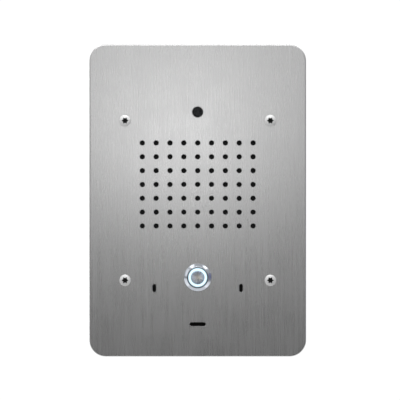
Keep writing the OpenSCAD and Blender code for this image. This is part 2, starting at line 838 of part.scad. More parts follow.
// Smoked light guides that fill the indicator slots
module light_guides() color([0.2, 0.18, 0.16, 0.8]) {
    play = 0.1;
    for (sx = [-1, 1]) {
        slab(plate_front + 0.3, plate_back) translate([sx * indicator_x, indicator_z])
            stadium(indicator_slot - [play, play]);
        slab(plate_back, plate_back + 1) translate([sx * indicator_x, indicator_z]) rounded([5.4, 8.4], 1);
        block([sx * indicator_x, indicator_z], [3.4, 4.6], plate_back + 1, 8.2);
    }
}

// Two 3 mm lamps that stand on the board behind the guides
module indicator_leds() color([0.9, 0.85, 0.7]) {
    body_front = 8.6;
    for (sx = [-1, 1]) turned([sx * indicator_x, indicator_z]) polygon([
        [0, body_front], [0.9, body_front + 0.3], [1.5, body_front + 1.2], [1.5, 12.6],
        [1.9, 12.6], [1.9, 13.4], [1.2, 13.4], [1.2, board_front], [0, board_front]
    ]);
}

module microphone_membrane() color([0.1, 0.1, 0.1])
    slab(plate_back, plate_back + membrane_t) translate([0, microphone_z]) stadium(membrane_size);

// Rubber boot that joins the slot to the capsule
module microphone_boot() color([0.1, 0.1, 0.1]) {
    flange = [17, 9];
    flange_back = -0.2;
    tube_r = 4.6;
    sound_gap = 0.5;
    difference() {
        union() {
            slab(plate_back, flange_back) translate([0, microphone_z]) stadium(flange);
            bar([0, microphone_z], flange_back, capsule_back - 0.2, tube_r);
        }
        slab(plate_back - 1, plate_back + membrane_t)
            translate([0, microphone_z]) stadium(membrane_size + [0.1, 0.1]);
        slab(plate_back - 1, 1)
            translate([0, microphone_z]) stadium(microphone_slot + [sound_gap, sound_gap]);
        bar([0, microphone_z], sound_gap, capsule_back + 1, capsule_r + snug_gap);
    }
}

module microphone_capsule() color([0.75, 0.75, 0.77])
    bar([0, microphone_z], 2, capsule_back, capsule_r);

module microphone_lead() color([0.3, 0.3, 0.3])
    lead(microphone_lead_route, [[1.3, 0, 0], [-1.3, 0, 0]], poles(2, [1, 0, 0]), 0.55, [1, 0.1, 0]);

// --- Circuit board ---------------------------------------------------------------------------

module main_board() color([0.04, 0.33, 0.17]) {
    foot_h = board_step - board_bottom;
    difference() {
        slab(board_front, board_back) difference() {
            union() {
                translate([0, (board_top + board_step) / 2])
                    rounded([2 * board_half_w, board_top - board_step], 2);
                translate([0, board_bottom + (foot_h + 4) / 2])
                    rounded([2 * board_foot_half_w, foot_h + 4], 2);
            }
            translate([0, speaker_z]) circle(speaker_cutout_r);
            translate([0, button_z]) circle(button_cutout_r);
        }
        for (place = standoff_places) bar(place, board_front - 1, board_back + 1, stud_r + 0.1);
    }
}

// Hexagon standoffs, tapped from both ends
module board_standoffs() color([0.8, 0.7, 0.4]) {
    rear_bore = 10;
    front_bore = standoff_stud + 0.5;
    for (place = standoff_places) difference() {
        slab(plate_back, board_front) translate(place) hexagon(standoff_af);
        bar(place, board_front - rear_bore, board_front + 1, stud_r + thread_gap);
        bar(place, plate_back - 1, plate_back + front_bore, stud_r + thread_gap);
    }
}

// A cross recess cut into a head whose top is at depth y
module cross_recess(place, y, across, depth)
    for (turn = [0, 90]) translate([place[0], y, place[1]]) rotate([0, turn, 0])
        translate([-across / 2, -depth, -0.35]) cube([across, depth + 1, 0.7]);

module board_screws() color("silver") {
    head_r = 2.75;
    head_h = 1.9;
    shank_end = 7;
    for (place = standoff_places) difference() {
        turned(place) polygon([
            [0, shank_end], [stud_r, shank_end], [stud_r, board_back], [head_r, board_back],
            [head_r, board_back + head_h - 0.7], [head_r - 0.6, board_back + head_h - 0.1],
            [head_r - 1.3, board_back + head_h], [0, board_back + head_h]
        ]);
        cross_recess(place, board_back + head_h, 2.8, 1.1);
    }
}

// Integrated circuits and small surface parts, each [x, z, width, height, thickness]
chip_list = [
    [-34, -24, 14, 14, 1.6], [-30, 18, 6, 5, 1.5], [-35, 2, 8, 5, 1.5],
    [31, 28, 10, 10, 1.2], [32, -6, 5, 6, 1.5], [34, 8, 7, 7, 1.4],
    [14, -68, 6, 5, 1.5], [-26, -47, 8, 6, 1.5], [16, -28, 5, 5, 1.4]
];

module board_chips() color([0.1, 0.1, 0.11]) {
    for (c = chip_list) block([c[0], c[1]], [c[2], c[3]], board_back, board_back + c[4]);
    // Rows of small passive parts
    for (i = [0:5]) {
        block([-40 + 3 * i, -37], [1.6, 0.8], board_back, board_back + 0.6);
        block([18 + 3 * i, 37], [1.6, 0.8], board_back, board_back + 0.6);
        block([25, -16 - 2.2 * i], [1.6, 0.8], board_back, board_back + 0.6);
        block([-20 + 3 * i, -34], [1.6, 0.8], board_back, board_back + 0.6);
    }
}

// Electrolytic capacitors, each [x, z, radius, height]
capacitor_list = [[-37, 34, 4, 11], [41, 33, 3.15, 8], [41, 24.5, 3.15, 8], [16, -16.5, 2.5, 7]];

module capacitors() color([0.13, 0.15, 0.25])
    for (c = capacitor_list) turned([c[0], c[1]]) polygon([
        [0, board_back], [c[2], board_back], [c[2], board_back + 0.8], [c[2] - 0.25, board_back + 1.2],
        [c[2], board_back + 1.6], [c[2], board_back + c[3] - 0.4], [c[2] - 0.4, board_back + c[3]],
        [0, board_back + c[3]]
    ]);

module relay() color([0.12, 0.25, 0.55])
    block(relay_place, [19, 15.2], board_back, board_back + 15);

// One lead connector: the header on the board and the plug in it, as separate solids
module connector(c) {
    wall = 0.7;
    floor_t = 1;
    play = 0.1;
    outer = [pole_pitch * c[3] + 2.4, 5.8];
    inner = outer - 2 * [wall, wall];
    plug = inner - 2 * [play, play];
    translate([c[0], board_back, c[1]]) rotate([0, c[2], 0]) {
        difference() {
            block([0, 0], outer, 0, header_height);
            block([0, 0], inner, floor_t, header_height + 1);
        }
        block([0, 0], plug, floor_t, plug_height);
    }
}

module lead_connectors() color([0.93, 0.92, 0.87])
    for (c = connectors) connector(c);

// Eight-pole network jack that opens to the rear, with the latch's notch
module network_jack() color([0.72, 0.73, 0.75]) {
    back = board_back + jack_size[2];
    contact_w = 0.35;
    difference() {
        block(jack_place, [jack_size[0], jack_size[1]], board_back, back);
        block(jack_place, jack_port, back - jack_port_depth, back + 1);
        block([jack_place[0], jack_place[1] - jack_port[1] / 2 - 1], [4.2, 2.4], back - 8, back + 1);
    }
    for (i = [0:7])
        block([jack_place[0] + (i - 3.5) * 1.02, jack_place[1] + jack_port[1] / 2 - 0.4],
            [contact_w, 0.8], back - jack_port_depth, back - 2.5);
}

// Screw terminals for the door release and the supply, with the screws as separate solids
module terminal_block() color([0.1, 0.5, 0.25]) {
    length = terminal_pitch * terminal_poles + 0.4;
    back = board_back + terminal_height;
    screw_bore = 1.9;
    difference() {
        block(terminal_place, [terminal_depth, length], board_back, back);
        for (i = [0:terminal_poles - 1]) {
            z = terminal_place[1] + (i - (terminal_poles - 1) / 2) * terminal_pitch;
            bar([terminal_place[0], z], back - 5, back + 1, screw_bore + 0.1);
            block([terminal_place[0] - terminal_depth / 2, z], [8, 3.2], board_back + 1.6, board_back + 4.8);
        }
    }
    for (i = [0:terminal_poles - 1]) difference() {
        z = terminal_place[1] + (i - (terminal_poles - 1) / 2) * terminal_pitch;
        bar([terminal_place[0], z], back - 5, back - 0.8, screw_bore);
        block([terminal_place[0], z], [0.7, 2 * screw_bore + 1], back - 1.9, back);
    }
}

module trimmer_bodies() color([0.15, 0.3, 0.6])
    for (place = [volume_place, gain_place]) difference() {
        block(place, [trimmer_size[0], trimmer_size[1]], board_back, trimmer_back);
        bar(place, trimmer_back - trimmer_recess, trimmer_back + 1, trimmer_rotor_r + running_gap);
    }

// Rotor of a trimmer, with a cross recess for the screwdriver
module trimmer_rotor(place) {
    proud = 0.3;
    difference() {
        bar(place, trimmer_back - trimmer_recess + running_gap, trimmer_back + proud, trimmer_rotor_r);
        cross_recess(place, trimmer_back + proud, 2 * trimmer_rotor_r - 1.6, 0.9);
    }
}

module volume_trimmer() color("white") trimmer_rotor(volume_place);

module microphone_trimmer() color("white") trimmer_rotor(gain_place);

// A round bar along X at the tamper switch's height, between two distances from the centre line
module switch_bar(x0, x1, r)
    translate([x0, board_back + switch_size[2] / 2, switch_place[1]]) rotate([0, 90, 0])
        cylinder(r = r, h = x1 - x0);

// Case of the tamper switch, with the plunger's chamber and neck
module tamper_switch() color([0.1, 0.1, 0.1]) {
    case_x = switch_place[0] + switch_size[0] / 2;
    neck = 0.6;
    chamber_depth = 3.4;
    difference() {
        block(switch_place, [switch_size[0], switch_size[1]], board_back, board_back + switch_size[2]);
        switch_bar(case_x - chamber_depth, case_x - neck, plunger_flange_r + running_gap);
        switch_bar(case_x - neck - 1, case_x + 1, plunger_r + running_gap);
    }
}

// Plunger that the side of the wall box presses in, held by its flange
module tamper_plunger() color([0.85, 0.85, 0.82]) {
    flange_t = 0.5;
    flange_x = switch_place[0] + switch_size[0] / 2 - 0.7;
    tip_t = 0.7;
    switch_bar(flange_x - flange_t, flange_x, plunger_flange_r);
    switch_bar(flange_x, plunger_tip_x - tip_t, plunger_r);
    translate([plunger_tip_x - tip_t, board_back + switch_size[2] / 2, switch_place[1]])
        rotate([0, 90, 0]) cylinder(r1 = plunger_r, r2 = plunger_r - tip_t, h = tip_t);
}

face_plate();
rim_gasket();
panel_screws();
screw_retainers();
weld_studs();
stud_nuts();
speaker_mesh();
speaker_gasket();
speaker_carrier();
driver_screws();
speaker_basket();
speaker_pole_plates();
speaker_magnet();
speaker_surround();
speaker_spider();
speaker_cone();
speaker_voice_coil();
speaker_terminals();
speaker_lead();
camera_window();
camera_bracket();
camera_housing();
camera_back_cover();
camera_lens_barrel();
camera_lens();
camera_sensor_board();
camera_pivot_screws();
camera_lead();
button_housing();
button_seal();
button_washer();
button_nut();
button_actuator();
button_light_ring();
button_cap();
button_retaining_clip();
button_spring();
button_contact_block();
button_terminals();
button_lead();
light_guides();
indicator_leds();
microphone_membrane();
microphone_boot();
microphone_capsule();
microphone_lead();
main_board();
board_standoffs();
board_screws();
board_chips();
capacitors();
relay();
lead_connectors();
network_jack();
terminal_block();
trimmer_bodies();
volume_trimmer();
microphone_trimmer();
tamper_switch();
tamper_plunger();
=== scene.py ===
import json
import math

import bmesh
import bpy
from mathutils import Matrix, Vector, geometry


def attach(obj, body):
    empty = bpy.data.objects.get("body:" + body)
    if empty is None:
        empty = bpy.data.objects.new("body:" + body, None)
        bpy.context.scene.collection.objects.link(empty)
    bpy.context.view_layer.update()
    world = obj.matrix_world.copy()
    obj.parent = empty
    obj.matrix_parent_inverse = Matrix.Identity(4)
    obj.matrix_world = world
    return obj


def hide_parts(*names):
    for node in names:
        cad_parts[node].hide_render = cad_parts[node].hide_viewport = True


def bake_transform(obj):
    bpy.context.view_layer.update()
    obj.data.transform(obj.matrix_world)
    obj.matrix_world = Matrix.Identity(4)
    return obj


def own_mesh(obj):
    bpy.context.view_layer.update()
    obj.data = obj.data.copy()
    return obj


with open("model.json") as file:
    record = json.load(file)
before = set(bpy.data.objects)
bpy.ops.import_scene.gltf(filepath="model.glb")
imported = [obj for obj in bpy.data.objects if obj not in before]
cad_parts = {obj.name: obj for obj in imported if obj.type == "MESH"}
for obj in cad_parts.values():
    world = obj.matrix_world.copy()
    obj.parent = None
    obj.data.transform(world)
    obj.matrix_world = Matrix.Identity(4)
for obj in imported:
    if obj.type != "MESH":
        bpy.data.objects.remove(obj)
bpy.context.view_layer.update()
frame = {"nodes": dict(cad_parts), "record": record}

MM = 0.001
TAU = 2 * math.pi
# A Mix node's colour sockets
MIX_A, MIX_B, MIX_RESULT = 6, 7, 2

# --- Facts from the part's source, in millimetres
PLATE_W, PLATE_H, PLATE_CORNER = 141, 203, 10.7
PLATE_FRONT, PLATE_BACK = -5, -2
BOARD_FRONT, BOARD_BACK = 14, 15.6
SCREWS = [(sx * 47.25, sz * 51.9) for sx in (-1, 1) for sz in (-1, 1)]
SPEAKER_Z, CAMERA_Z, BUTTON_Z = 10.4, 57.5, -50
SLOT_X, SLOT_Z, MIC_Z = 28.2, -57, -80.4
SOUND_PITCH, SOUND_HOLE_R = 9, 1.65
CAMERA_HOLE_R, BUTTON_HOLE_R = 3.45, 8.1
SCREW_HOLE_R, COUNTERSINK_R, SCREW_HEAD_R, RECESS_ACROSS = 2.1, 3.73, 3.7, 4.1
STANDOFFS = [(-50, 37.5), (50, 37.5), (-50, -36), (50, -36), (-33, -70), (33, -70)]
CARRIER_STUDS = [(sx * 45.7, SPEAKER_Z + sz * 16) for sx in (-1, 1) for sz in (-1, 1)]
CAMERA_STUDS = [(-21.5, CAMERA_Z), (21.5, CAMERA_Z)]
CHIPS = [
    (-34, -24, 14, 14, 1.6), (-30, 18, 6, 5, 1.5), (-35, 2, 8, 5, 1.5),
    (31, 28, 10, 10, 1.2), (32, -6, 5, 6, 1.5), (34, 8, 7, 7, 1.4),
    (14, -68, 6, 5, 1.5), (-26, -47, 8, 6, 1.5), (16, -28, 5, 5, 1.4),
]
JACK_X, JACK_Z = 44, -20
TERMINAL_X, TERMINAL_Z = -48.5, -17
TRIMMER_X = -46.5
TRIMMERS = (("volume_trimmer", 20), ("microphone_trimmer", 7))
CAPACITORS = [(-37, 34, 4, 11), (41, 33, 3.15, 8), (41, 24.5, 3.15, 8), (16, -16.5, 2.5, 7)]


# --- Camera, light and floor
def aim(obj, target):
    direction = Vector(target) - obj.location
    obj.rotation_euler = direction.to_track_quat("-Z", "Y").to_euler()


def link(obj):
    bpy.context.scene.collection.objects.link(obj)
    return obj


def area_light(name, place, size, power):
    light = bpy.data.lights.new(name, "AREA")
    light.shape = "RECTANGLE"
    light.size, light.size_y = size
    light.energy = power
    obj = link(bpy.data.objects.new(name, light))
    obj.location = place
    aim(obj, (0, 0, 0))
    obj.visible_camera = False


VIEW_WIDTH = 0.26
CAMERA_PLACE = Vector((0.0015, -1.2, 0.0003))
camera = link(bpy.data.objects.new("camera", bpy.data.cameras.new("camera")))
camera.location = CAMERA_PLACE
aim(camera, (CAMERA_PLACE.x, 0, CAMERA_PLACE.z))
camera.data.sensor_width = 36
camera.data.lens = camera.data.sensor_width * (PLATE_FRONT * MM - CAMERA_PLACE.y) / VIEW_WIDTH
bpy.context.scene.camera = camera

scene = bpy.context.scene
scene.view_settings.view_transform = "Standard"
scene.view_settings.look = "None"

# The world is white behind the object and a soft graded dome in reflections
world = bpy.data.worlds.new("studio")
scene.world = world
world.use_nodes = True
wt = world.node_tree
wt.nodes.clear()


def wnode(kind, **props):
    made = wt.nodes.new(kind)
    for key, value in props.items():
        setattr(made, key, value)
    return made


seen = wnode("ShaderNodeBackground")
seen.inputs["Color"].default_value = (1, 1, 1, 1)
seen.inputs["Strength"].default_value = 1.05
dome = wnode("ShaderNodeBackground")
dome.inputs["Strength"].default_value = 1.0
where = wnode("ShaderNodeTexCoord")
split = wnode("ShaderNodeSeparateXYZ")
# Brightness at each elevation, in degrees: a pale floor, a horizon that is dark in front, a soft sky
FRONT_DOME = [
    (-90, 1.0), (-50, 1.0), (-30, 0.2), (-12, 0.0), (-6, 0.0),
    (-3, 0.08), (0, 0.32), (3, 0.60), (90, 0.60),
]
SIDE_DOME = [(-90, 1.0), (-50, 1.0), (-25, 0.45), (0, 0.38), (8, 0.55), (90, 0.60)]


def ranged(value, low, high):
    made = wnode("ShaderNodeMapRange")
    made.inputs["From Min"].default_value = low
    made.inputs["From Max"].default_value = high
    wt.links.new(value, made.inputs["Value"])
    return made.outputs["Result"]


def dome_levels(stops):
    ramp = wnode("ShaderNodeValToRGB")
    while len(ramp.color_ramp.elements) < len(stops):
        ramp.color_ramp.elements.new(0.5)
    for element, (elevation, level) in zip(ramp.color_ramp.elements, stops):
        element.position = (math.sin(math.radians(elevation)) + 1) / 2
        element.color = (level, level, level, 1)
    wt.links.new(ranged(split.outputs["Z"], -1, 1), ramp.inputs["Fac"])
    return ramp.outputs["Color"]


levels = wnode("ShaderNodeMix", data_type="RGBA")
wt.links.new(ranged(split.outputs["Y"], -0.94, -0.84), levels.inputs[0])
wt.links.new(dome_levels(FRONT_DOME), levels.inputs[MIX_A])
wt.links.new(dome_levels(SIDE_DOME), levels.inputs[MIX_B])
path = wnode("ShaderNodeLightPath")
either = wnode("ShaderNodeMixShader")
out = wnode("ShaderNodeOutputWorld")
wt.links.new(where.outputs["Generated"], split.inputs[0])
wt.links.new(levels.outputs[MIX_RESULT], dome.inputs["Color"])
wt.links.new(path.outputs["Is Camera Ray"], either.inputs[0])
wt.links.new(dome.outputs[0], either.inputs[1])
wt.links.new(seen.outputs[0], either.inputs[2])
wt.links.new(either.outputs[0], out.inputs[0])

# Each light: its name, place, size in metres and power in watts
LIGHTS = [
    ("front_key", (-0.02, -0.75, 0.055), (0.12, 0.10), 0.0763),
    ("front_soft", (-0.03, -0.75, 0.12), (0.36, 0.20), 0.092),
    ("front_high", (-0.10, -0.90, 0.75), (1.0, 0.5), 3.93),
    ("upper_right", (0.60, -0.35, 0.70), (0.36, 0.36), 0.75),
    ("upper_left", (-0.45, -0.35, 0.78), (0.36, 0.36), 0.66),
    ("low_left", (-0.85, -0.32, -0.45), (0.9, 0.6), 1.4),
    ("low_right", (0.75, -0.36, -0.62), (0.8, 0.5), 0.85),
    ("left_soft", (-0.82, -0.45, 0.30), (0.30, 0.60), 0.42),
    ("behind_high", (0.3, 0.8, 0.9), (0.8, 0.6), 11.0),
    ("behind_low", (-0.7, 0.7, 0.1), (0.5, 0.8), 6.0),
]
for light in LIGHTS:
    area_light(*light)


def studio_disc(name, radius, place, colour, turn=(0, 0, 0), seen=True):
    bm = bmesh.new()
    bmesh.ops.create_circle(bm, cap_ends=True, segments=96, radius=radius)
    mesh = bpy.data.meshes.new(name)
    bm.to_mesh(mesh)
    bm.free()
    paper = bpy.data.materials.new(name)
    paper.use_nodes = True
    shader = paper.node_tree.nodes["Principled BSDF"]
    shader.inputs["Base Color"].default_value = (*colour, 1)
    shader.inputs["Roughness"].default_value = 0.9
    mesh.materials.append(paper)
    obj = link(bpy.data.objects.new(name, mesh))
    obj.location, obj.rotation_euler = place, turn
    obj.visible_camera = seen
    obj.visible_glossy = not seen


studio_disc("floor", 2.2, (0, 0, -0.45), (0.80, 0.80, 0.80))
studio_disc("dark_flag", 0.17, (0.60, -0.27, -0.02), (0.20, 0.21, 0.32), (0, math.pi / 2, 0), False)


# --- Materials
class Finish:
    """A procedural material. Each layer of pattern adds to its tone, its roughness and its relief."""

    def __init__(self, name, colour, rough, metal=0.0, **sockets):
        self.material = bpy.data.materials.new(name)
        self.material.use_nodes = True
        self.tree = self.material.node_tree
        self.tree.nodes.clear()
        self.shader = self.node("ShaderNodeBsdfPrincipled")
        self.output = self.node("ShaderNodeOutputMaterial")
        self.link(self.shader.outputs[0], self.output.inputs[0])
        self.shader.inputs["Metallic"].default_value = metal
        for key, value in sockets.items():
            self.shader.inputs[key.replace("_", " ")].default_value = value
        self.colour = colour
        self.totals = {"tone": 1.0, "rough": rough, "relief": 0.0}
        coordinates = self.node("ShaderNodeTexCoord")
        scaled = self.node("ShaderNodeVectorMath", operation="SCALE")
        scaled.inputs["Scale"].default_value = 1 / MM
        self.link(coordinates.outputs["Object"], scaled.inputs[0])
        self.place = scaled.outputs[0]

    def node(self, kind, **props):
        made = self.tree.nodes.new(kind)
        for key, value in props.items():
            setattr(made, key, value)
        return made

    def link(self, a, b):
        self.tree.links.new(a, b)

    def sum(self, operation, a, b=None, c=None):
        made = self.node("ShaderNodeMath", operation=operation)
        for socket, value in zip(made.inputs, (a, b, c)):
            if value is None:
                continue
            if isinstance(value, (int, float)):
                socket.default_value = value
            else:
                self.link(value, socket)
        return made.outputs[0]

    def stretched(self, size, shift=0.0):
        """Coordinates in which one unit is "size" millimetres along each axis."""
        size = size if isinstance(size, tuple) else (size,) * 3
        mapped = self.node("ShaderNodeMapping")
        mapped.inputs["Scale"].default_value = tuple(1 / s for s in size)
        mapped.inputs["Location"].default_value = (shift, shift * 1.7, shift * 0.6)
        self.link(self.place, mapped.inputs["Vector"])
        return mapped.outputs[0]

    def noise(self, size, detail=2.0, shift=0.0, rough=0.5):
        made = self.node("ShaderNodeTexNoise")
        made.inputs["Scale"].default_value = 1.0
        made.inputs["Detail"].default_value = detail
        made.inputs["Roughness"].default_value = rough
        self.link(self.stretched(size, shift), made.inputs["Vector"])
        return made.outputs["Fac"]

    def cells(self, size, shift=0.0):
        made = self.node("ShaderNodeTexVoronoi")
        made.inputs["Scale"].default_value = 1.0
        self.link(self.stretched(size, shift), made.inputs["Vector"])
        return made.outputs["Distance"]

    def wave(self, size, axis="X", shift=0.0):
        made = self.node("ShaderNodeTexWave", bands_direction=axis, wave_profile="SIN")
        made.inputs["Scale"].default_value = 0.5
        made.inputs["Detail"].default_value = 0
        self.link(self.stretched(size, shift), made.inputs["Vector"])
        return made.outputs["Fac"]

    def levels(self, value, low, high, to_low=0.0, to_high=1.0):
        made = self.node("ShaderNodeMapRange")
        for key, number in (("From Min", low), ("From Max", high), ("To Min", to_low), ("To Max", to_high)):
            made.inputs[key].default_value = number
        self.link(value, made.inputs["Value"])
        return made.outputs["Result"]

    def layer(self, pattern, tone=0.0, rough=0.0, relief=0.0):
        """Adds a pattern that runs from 0 to 1, centred on its middle. Relief is in millimetres."""
        for key, amount in (("tone", tone), ("rough", rough), ("relief", relief)):
            if amount:
                centred = self.sum("MULTIPLY_ADD", pattern, float(amount), -amount / 2)
                self.totals[key] = self.sum("ADD", centred, self.totals[key])
        return self

    def grain(self, size, tone=0.0, rough=0.0, relief=0.0, detail=2.0, shift=0.0):
        return self.layer(self.levels(self.noise(size, detail, shift), 0.3, 0.7), tone, rough, relief)

    def done(self):
        tone, rough, relief = (self.totals[k] for k in ("tone", "rough", "relief"))
        base = self.shader.inputs["Base Color"]
        if isinstance(self.colour, tuple):
            start = self.node("ShaderNodeRGB")
            start.outputs[0].default_value = (*self.colour, 1)
            self.colour = start.outputs[0]
        if isinstance(tone, float):
            self.link(self.colour, base)
        else:
            scaled = self.node("ShaderNodeVectorMath", operation="SCALE")
            self.link(self.colour, scaled.inputs[0])
            self.link(tone, scaled.inputs["Scale"])
            self.link(scaled.outputs[0], base)
        if isinstance(rough, float):
            self.shader.inputs["Roughness"].default_value = rough
        else:
            self.link(self.sum("MAXIMUM", rough, 0.03), self.shader.inputs["Roughness"])
        if not isinstance(relief, float):
            bump = self.node("ShaderNodeBump")
            bump.inputs["Strength"].default_value = 1.0
            bump.inputs["Distance"].default_value = MM
            self.link(relief, bump.inputs["Height"])
            self.link(bump.outputs[0], self.shader.inputs["Normal"])
        return self.material

    def blend_colours(self, factor, a, b):
        made = self.node("ShaderNodeMix", data_type="RGBA")
        self.link(factor, made.inputs[0])
        made.inputs[MIX_A].default_value = (*a, 1)
        made.inputs[MIX_B].default_value = (*b, 1)
        return made.outputs[MIX_RESULT]


def simple(name, colour, rough, metal=0.0, tone=0.10, spread=0.12, relief=0.002, size=0.5, **sockets):
    """A moulded, plated or painted surface: fine texture, a broader mottle and faint handling marks."""
    f = Finish(name, colour, rough, metal, **sockets)
    f.grain(size, tone * 0.5, spread * 0.5, relief, detail=3)
    f.grain((6, 5, 7), tone, spread * 0.7, 0.0, shift=3.0)
    f.grain((0.3, 0.3, 9), 0.0, spread * 0.5, relief * 0.3, shift=8.0)
    return f.done()


def brushed_plate():
    """Stainless sheet with a vertical grain: streaks of three widths over a low mottle."""
    f = Finish("plate_steel", (0.60, 0.60, 0.60), 0.28, 1.0)
    f.grain((0.85, 40, 90), 0.035, 0.012, 0.0, detail=1)
    f.grain((0.38, 40, 46), 0.060, 0.02, 0.0001, detail=2, shift=4.0)
    f.grain((0.16, 40, 20), 0.060, 0.03, 0.0001, detail=1, shift=9.0)
    f.grain((9, 40, 60), 0.02, 0.0, 0.0, shift=14.0)
    f.grain((14, 14, 14), 0.0, 0.015, 0.0, shift=21.0)
    return f.done()


# Colour, roughness, metal, tone, spread of roughness, relief and size of the texture, in millimetres
PLAIN = {
    "screw_steel": ((0.86, 0.86, 0.86), 0.46, 1.0, 0.06, 0.08, 0.0005, 0.25),
    "plated_steel": ((0.60, 0.62, 0.64), 0.30, 1.0, 0.10, 0.15, 0.001, 0.3),
    "copper_flash": ((0.72, 0.42, 0.26), 0.34, 1.0, 0.2, 0.15, 0.001, 0.4),
    "chromed_steel": ((0.52, 0.55, 0.60), 0.17, 1.0, 0.05, 0.06, 0.0003, 0.5),
    # Painted shade: the actuator is dark to stand for the shadow in the gap round the button
    "actuator_painted_shade": ((0.13, 0.17, 0.21), 0.40, 0.4, 0.1, 0.1, 0.0005, 0.2),
    "nylon": ((0.66, 0.65, 0.60), 0.42, 0.0, 0.06, 0.12, 0.003, 0.35),
    "black_rubber": ((0.022, 0.022, 0.023), 0.62, 0.0, 0.3, 0.16, 0.004, 0.25),
    "foam": ((0.030, 0.030, 0.033), 0.85, 0.0, 0.5, 0.10, 0.05, 0.22),
    "black_plastic": ((0.028, 0.028, 0.030), 0.48, 0.0, 0.2, 0.14, 0.006, 0.3),
    "gloss_black_plastic": ((0.018, 0.018, 0.020), 0.38, 0.0, 0.2, 0.14, 0.003, 0.12),
    "black_anodised": ((0.012, 0.012, 0.014), 0.38, 0.0, 0.2, 0.14, 0.002, 0.2),
    "basket_steel": ((0.42, 0.43, 0.45), 0.36, 1.0, 0.12, 0.15, 0.001, 0.4),
    "ferrite": ((0.040, 0.040, 0.043), 0.55, 0.0, 0.35, 0.14, 0.02, 0.35),
    "cone_paper": ((0.035, 0.033, 0.030), 0.75, 0.0, 0.4, 0.12, 0.03, 0.5),
    "copper_winding": ((0.70, 0.34, 0.16), 0.30, 1.0, 0.15, 0.10, 0.01, 0.2),
    "fibre_strip": ((0.22, 0.10, 0.035), 0.55, 0.0, 0.25, 0.10, 0.004, 0.3),
    "board_green": ((0.010, 0.115, 0.045), 0.28, 0.0, 0.15, 0.08, 0.003, 0.5),
    "track_green": ((0.035, 0.24, 0.085), 0.28, 0.0, 0.15, 0.08, 0.001, 0.5),
    "brass": ((0.72, 0.52, 0.24), 0.28, 1.0, 0.12, 0.14, 0.001, 0.3),
    "contact_brass": ((0.74, 0.62, 0.34), 0.28, 1.0, 0.12, 0.14, 0.001, 0.3),
    "spring_steel": ((0.50, 0.50, 0.52), 0.24, 1.0, 0.10, 0.10, 0.001, 0.3),
    "ivory_plastic": ((0.66, 0.62, 0.51), 0.36, 0.0, 0.05, 0.12, 0.002, 0.3),
    "relay_blue": ((0.020, 0.085, 0.33), 0.32, 0.0, 0.08, 0.12, 0.002, 0.3),
    "terminal_green": ((0.015, 0.23, 0.08), 0.36, 0.0, 0.08, 0.12, 0.002, 0.3),
    "trimmer_blue": ((0.025, 0.11, 0.38), 0.34, 0.0, 0.08, 0.12, 0.002, 0.3),
    "capacitor_sleeve": ((0.020, 0.024, 0.070), 0.30, 0.0, 0.1, 0.1, 0.002, 0.4),
    "jack_shield": ((0.64, 0.65, 0.66), 0.27, 1.0, 0.10, 0.15, 0.001, 0.3),
    "lamp_epoxy": ((0.78, 0.72, 0.52), 0.25, 0.0, 0.05, 0.08, 0.001, 0.3),
    "red_wire": ((0.36, 0.012, 0.012), 0.38, 0.0, 0.1, 0.1, 0.003, 0.4),
    "blue_wire": ((0.02, 0.04, 0.30), 0.38, 0.0, 0.1, 0.1, 0.003, 0.4),
    "grey_wire": ((0.20, 0.20, 0.21), 0.38, 0.0, 0.1, 0.1, 0.003, 0.4),
    "black_wire": ((0.018, 0.018, 0.019), 0.40, 0.0, 0.1, 0.1, 0.003, 0.4),
}
FINISHES = {"plate_steel": brushed_plate()}
for name, values in PLAIN.items():
    FINISHES[name] = simple(name, *values)
# Painted shade: a near-black, matt finish for the walls and floor of the screw recess, where shade falls
FINISHES["recess_painted_shade"] = simple(
    "recess_painted_shade", (0.012, 0.012, 0.012), 0.60, 0.0, 0.3, 0.1, 0.003, 0.2, Specular_IOR_Level=0.2)
FINISHES["vent_membrane"] = simple(
    "vent_membrane", (0.004, 0.004, 0.004), 0.80, 0.0, 0.3, 0.10, 0.01, 0.15, Specular_IOR_Level=0.1)


def round_place(f, centre):
    """Distance from an axis along Y, and the direction away from it, which runs on without a seam."""
    away = f.node("ShaderNodeVectorMath", operation="SUBTRACT")
    away.inputs[1].default_value = (centre[0], 0, centre[1])
    f.link(f.place, away.inputs[0])
    level = f.node("ShaderNodeVectorMath", operation="MULTIPLY")
    level.inputs[1].default_value = (1, 0, 1)
    f.link(away.outputs[0], level.inputs[0])
    length = f.node("ShaderNodeVectorMath", operation="LENGTH")
    f.link(level.outputs[0], length.inputs[0])
    heading = f.node("ShaderNodeVectorMath", operation="NORMALIZE")
    f.link(level.outputs[0], heading.inputs[0])
    return length.outputs["Value"], heading.outputs[0]


def noise_along(f, vector, scale, detail=1.0):
    made = f.node("ShaderNodeTexNoise")
    made.inputs["Scale"].default_value = scale
    made.inputs["Detail"].default_value = detail
    f.link(vector, made.inputs["Vector"])
    return f.levels(made.outputs["Fac"], 0.35, 0.65)


